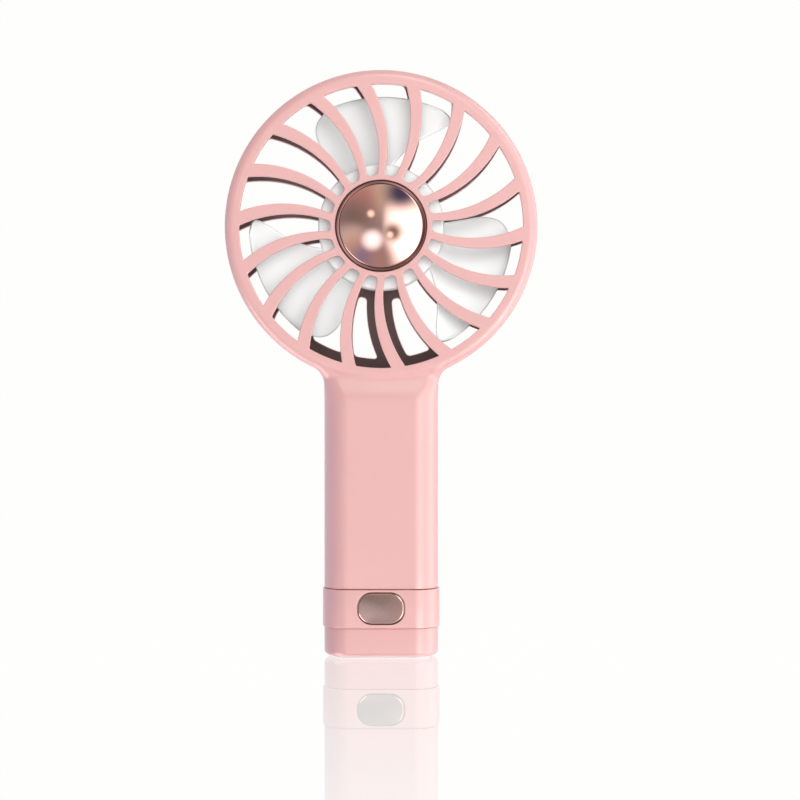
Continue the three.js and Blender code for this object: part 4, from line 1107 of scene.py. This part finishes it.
def add_floor():
    """A white floor that mirrors the fan faintly, less and less away from its foot."""
    mesh = bpy.data.meshes.new("floor")
    corners = [(x * FLOOR_HALF, y * FLOOR_HALF, 0) for x, y in ((-1, -1), (1, -1), (1, 1), (-1, 1))]
    mesh.from_pydata(corners, [], [(0, 1, 2, 3)])
    floor = bpy.data.objects.new("floor", mesh)
    floor.location.z = -0.0001
    floor.visible_glossy = False
    bpy.context.scene.collection.objects.link(floor)
    material, tree = new_tree("floor_white")
    white = add_node(tree, "Emission", Color=WHITE)
    mirror = add_node(tree, "BsdfGlossy", Color=(1, 1, 1, 1), Roughness=0.02)
    coords = add_node(tree, "TexCoord")
    away = add_node(tree, "VectorMath")
    away.operation = "LENGTH"
    fade = add_node(tree, "MapRange", From_Min=FLOOR_FADE, From_Max=0.0, To_Min=0.0, To_Max=FLOOR_MIRROR)
    mix = add_node(tree, "MixShader")
    join(
        tree,
        (coords, "Object", away, 0),
        (away, "Value", fade, "Value"),
        (fade, "Result", mix, "Fac"),
        (white, "Emission", mix, 1),
        (mirror, "BSDF", mix, 2),
        (mix, "Shader", add_node(tree, "OutputMaterial"), "Surface"),
    )
    mesh.materials.append(material)


def ball(name, radius, centre, material, seen_by):
    """A sphere round everything that only the stated kinds of ray can see."""
    skin = Skin()
    lathe(skin, arc(0, 0, radius / MM, -90, 90, 33), (0, 0), 64)
    sphere = make_piece(name, skin, ())
    sphere.data.materials.append(material)
    sphere.location = centre
    sphere.visible_camera = "camera" in seen_by
    sphere.visible_glossy = "glossy" in seen_by
    sphere.visible_transmission = "transmission" in seen_by
    sphere.visible_diffuse = False
    sphere.visible_shadow = False


def mirrored(x, z):
    """The direction that the crown shows to the camera at a point x, z mm from its middle."""
    normal = Vector((x, -math.sqrt(CROWN_BALL**2 - x * x - z * z), z)) / CROWN_BALL
    middle = Vector((0, dome_low.y + CROWN_BALL, HEAD_Z)) * MM
    to_camera = (CAMERA_PLACE - middle - normal * CROWN_BALL * MM).normalized()
    return 2 * normal.dot(to_camera) * normal - to_camera


def tent_material():
    """What polished parts reflect: a brown room with soft light and dark patches in it."""
    material = emission("tent_light", (1, 1, 1, 1))
    tree = material.node_tree
    coords = add_node(tree, "TexCoord")
    below = tree.nodes.new("ShaderNodeRGB")
    below.outputs[0].default_value = TENT_BASE
    below_out = 0
    for centre, size, soft, tint, boxy in TENT_PATCHES:
        direction = mirrored(*centre) if len(centre) == 2 else Vector(centre).normalized()
        scale = [1 / (TENT_R * side) for side in size]
        shift = add_node(tree, "Mapping", Scale=scale, Location=[-d / s for d, s in zip(direction, size)])
        power = 2 if boxy else 1  # a patch has corners where its three distances are squared
        raised = add_node(tree, "VectorMath")
        raised.operation = "MULTIPLY"
        raised.inputs[1].default_value = (1, 1, 1)
        far = add_node(tree, "VectorMath")
        far.operation = "LENGTH"
        edge = add_node(tree, "MapRange", From_Min=(1 + soft) ** power, From_Max=(1 - soft) ** power)
        edge.interpolation_type = "SMOOTHSTEP"
        mix = add_node(tree, "Mix")
        mix.data_type = "RGBA"
        mix.inputs[MIX_B].default_value = (*tint, 1)
        join(
            tree,
            (coords, "Object", shift, "Vector"),
            (shift, "Vector", raised, 0),
            (raised, "Vector", far, 0),
            (far, "Value", edge, "Value"),
            (edge, "Result", mix, "Factor"),
            (below, below_out, mix, MIX_A),
        )
        if boxy:
            join(tree, (shift, "Vector", raised, 1))
        below, below_out = mix, MIX_OUT
    join(tree, (below, below_out, tree.nodes["Emission"], "Color"))
    return material


TENT_R = 3.0
TENT_BASE = (1.0, 0.96, 0.98, 1)
# Each patch's place, as a direction or as the crown's x, z mm that shows it; its half-sizes; its softness;
# its colour; and whether it has corners
TENT_PATCHES = (
    ((0, 1, 0.05), (0.5, 0.5, 0.4), 0.3, (1.0, 1.0, 0.99), True),
    ((-1, 0.3, 0.1), (0.5, 0.7, 0.8), 0.6, (0.85, 0.9, 1.3), False),
    ((0, -0.2, 1), (0.9, 0.6, 0.5), 0.6, (1.1, 1.0, 0.95), False),
    ((1, 0.2, 0.0), (0.5, 0.42, 0.8), 0.5, (4.6, 4.5, 4.4), False),
    ((0, 0.25, -1), (0.7, 0.5, 0.4), 0.5, (3.0, 3.0, 3.1), False),
    ((-0.7, -0.2, -0.7), (0.35, 0.35, 0.35), 0.4, (9.0, 8.8, 8.8), False),
    ((0.7, -0.2, 0.7), (0.3, 0.35, 0.3), 0.4, (9.0, 8.8, 8.8), False),
    ((0.6, 10.0), (0.3, 0.6, 0.34), 0.9, (2.0, 2.05, 1.6), False),
    ((-7.4, 8.6), (0.42, 0.6, 0.36), 0.9, (1.4, 0.85, 0.85), False),
    ((-9.0, 2.8), (0.42, 0.6, 0.34), 0.9, (0.62, 0.56, 0.54), False),
    ((-9.8, -3.6), (0.26, 0.6, 0.2), 0.9, (1.75, 1.75, 1.8), False),
    ((-8.2, -7.0), (0.26, 0.6, 0.26), 0.9, (1.7, 1.35, 1.1), False),
    ((-4.6, -10.2), (0.34, 0.6, 0.24), 0.9, (0.75, 0.7, 1.15), False),
    ((8.2, -2.4), (0.38, 0.9, 0.56), 0.42, (5.4, 5.4, 5.4), True),
    ((9.6, -7.4), (0.22, 0.5, 0.22), 0.5, (13.0, 13.0, 13.0), False),
    ((-0.2, -10.6), (0.24, 0.6, 0.3), 0.8, (1.1, 0.85, 0.82), False),
    ((6.6, 10.7), (0.29, 0.6, 0.25), 0.8, (0.2, 0.2, 0.42), False),
    ((3.8, -2.3), (0.17, 0.5, 0.18), 0.7, (0.75, 0.6, 0.5), False),
    ((-2.7, -4.7), (0.185, 0.5, 0.175), 0.65, (4.5, 4.8, 5.2), False),
    ((-3.25, 3.7), (0.06, 0.3, 0.06), 0.8, (5.0, 4.0, 3.6), False),
    ((2.95, -3.1), (0.055, 0.3, 0.055), 0.8, (5.0, 4.2, 3.9), False),
)


def add_world():
    """Soft light, strongest at the horizon and weaker from above, that falls off towards both sides."""
    world = bpy.data.worlds.new("studio")
    world.use_nodes = True
    tree = world.node_tree
    coords = add_node(tree, "TexCoord")
    axes = add_node(tree, "SeparateXYZ")
    share = add_node(tree, "MapRange", From_Min=-1, From_Max=1)
    ramp = add_node(tree, "ValToRGB")
    ramp.color_ramp.interpolation = "EASE"
    ramp.color_ramp.elements[0].color = (0.0, 0.0, 0.03, 1)
    ramp.color_ramp.elements[1].color = (0.05, 0.05, 0.05, 1)
    ramp.color_ramp.elements.new(0.63).color = (1, 0.99, 0.985, 1)
    height = add_node(tree, "MapRange", To_Min=1.27, To_Max=0.65)
    join(
        tree,
        (coords, "Generated", axes, "Vector"),
        (axes, "X", share, "Value"),
        (axes, "Z", height, "Value"),
        (share, "Result", ramp, "Fac"),
        (ramp, "Color", tree.nodes["Background"], "Color"),
        (height, "Result", tree.nodes["Background"], "Strength"),
    )
    bpy.context.scene.world = world


def add_studio():
    add_world()
    bpy.context.scene.view_settings.view_transform = "Standard"
    backdrop = emission("backdrop_white", WHITE)
    ball("backdrop", BACKDROP_R, (0, 0, 0), backdrop, ("camera", "transmission"))
    ball("tent", TENT_R, (0, 0, HEAD_Z * MM), tent_material(), ("glossy",))


# ---- The fan, from front to foot ----

add_camera()
add_studio()
add_floor()
dress_cad_nodes()

front = add_piece("front_housing", shell(FRONT, front_slots(), FRONT_RIB), PINK, "housing", "front_shell")
rear = make_piece("rear_housing", shell(REAR, rear_slots(), REAR_RIB), PINK)
sink_screws(rear)
place(rear, "housing", PINK[0], "rear_shell")
screw_nodes = [f"shell_screw_{i}" for i in SCREWS]
add_piece("housing_screws", screws(), ["steel"], "housing", *screw_nodes, sharp=35)
add_piece("port_mouth", port_shell(), ["nickel"], "housing", "usb_port_shell")
add_piece("charge_lens", lens(), ["clear_plastic"], "housing", "led_lens")
blades = add_piece("blades_and_hub", impeller(), ["white_plastic"], "rotor", "impeller")
add_piece("mirror_dome", dome(), ["rose_mirror", "rose_ring_painted_shade"], "housing", "dome_cap")
add_piece("button_pill", power_button(), ["rose_satin", "rose_bevel"], "button", "power_button")
band = add_piece("collar_band", collar(), PINK, "housing", "collar")
base = add_piece("base_cap", bottom_cap(), PINK, "housing", "bottom_cap")
add_piece("base_pad", foot_pad(), ["rubber_pad"], "housing", "foot_pad")

lamp_for([blades], "impeller_lamp", (0.15, -1.0, 0.25), HEAD_Z, size=0.7, power=7.3, glossy=False)
housing = [front, rear, band, base]
lamp_for(housing, "housing_lamp", (0.08, -0.38, 0.55), SHOULDER_HIGH, size=0.22, power=0.95, glossy=True)
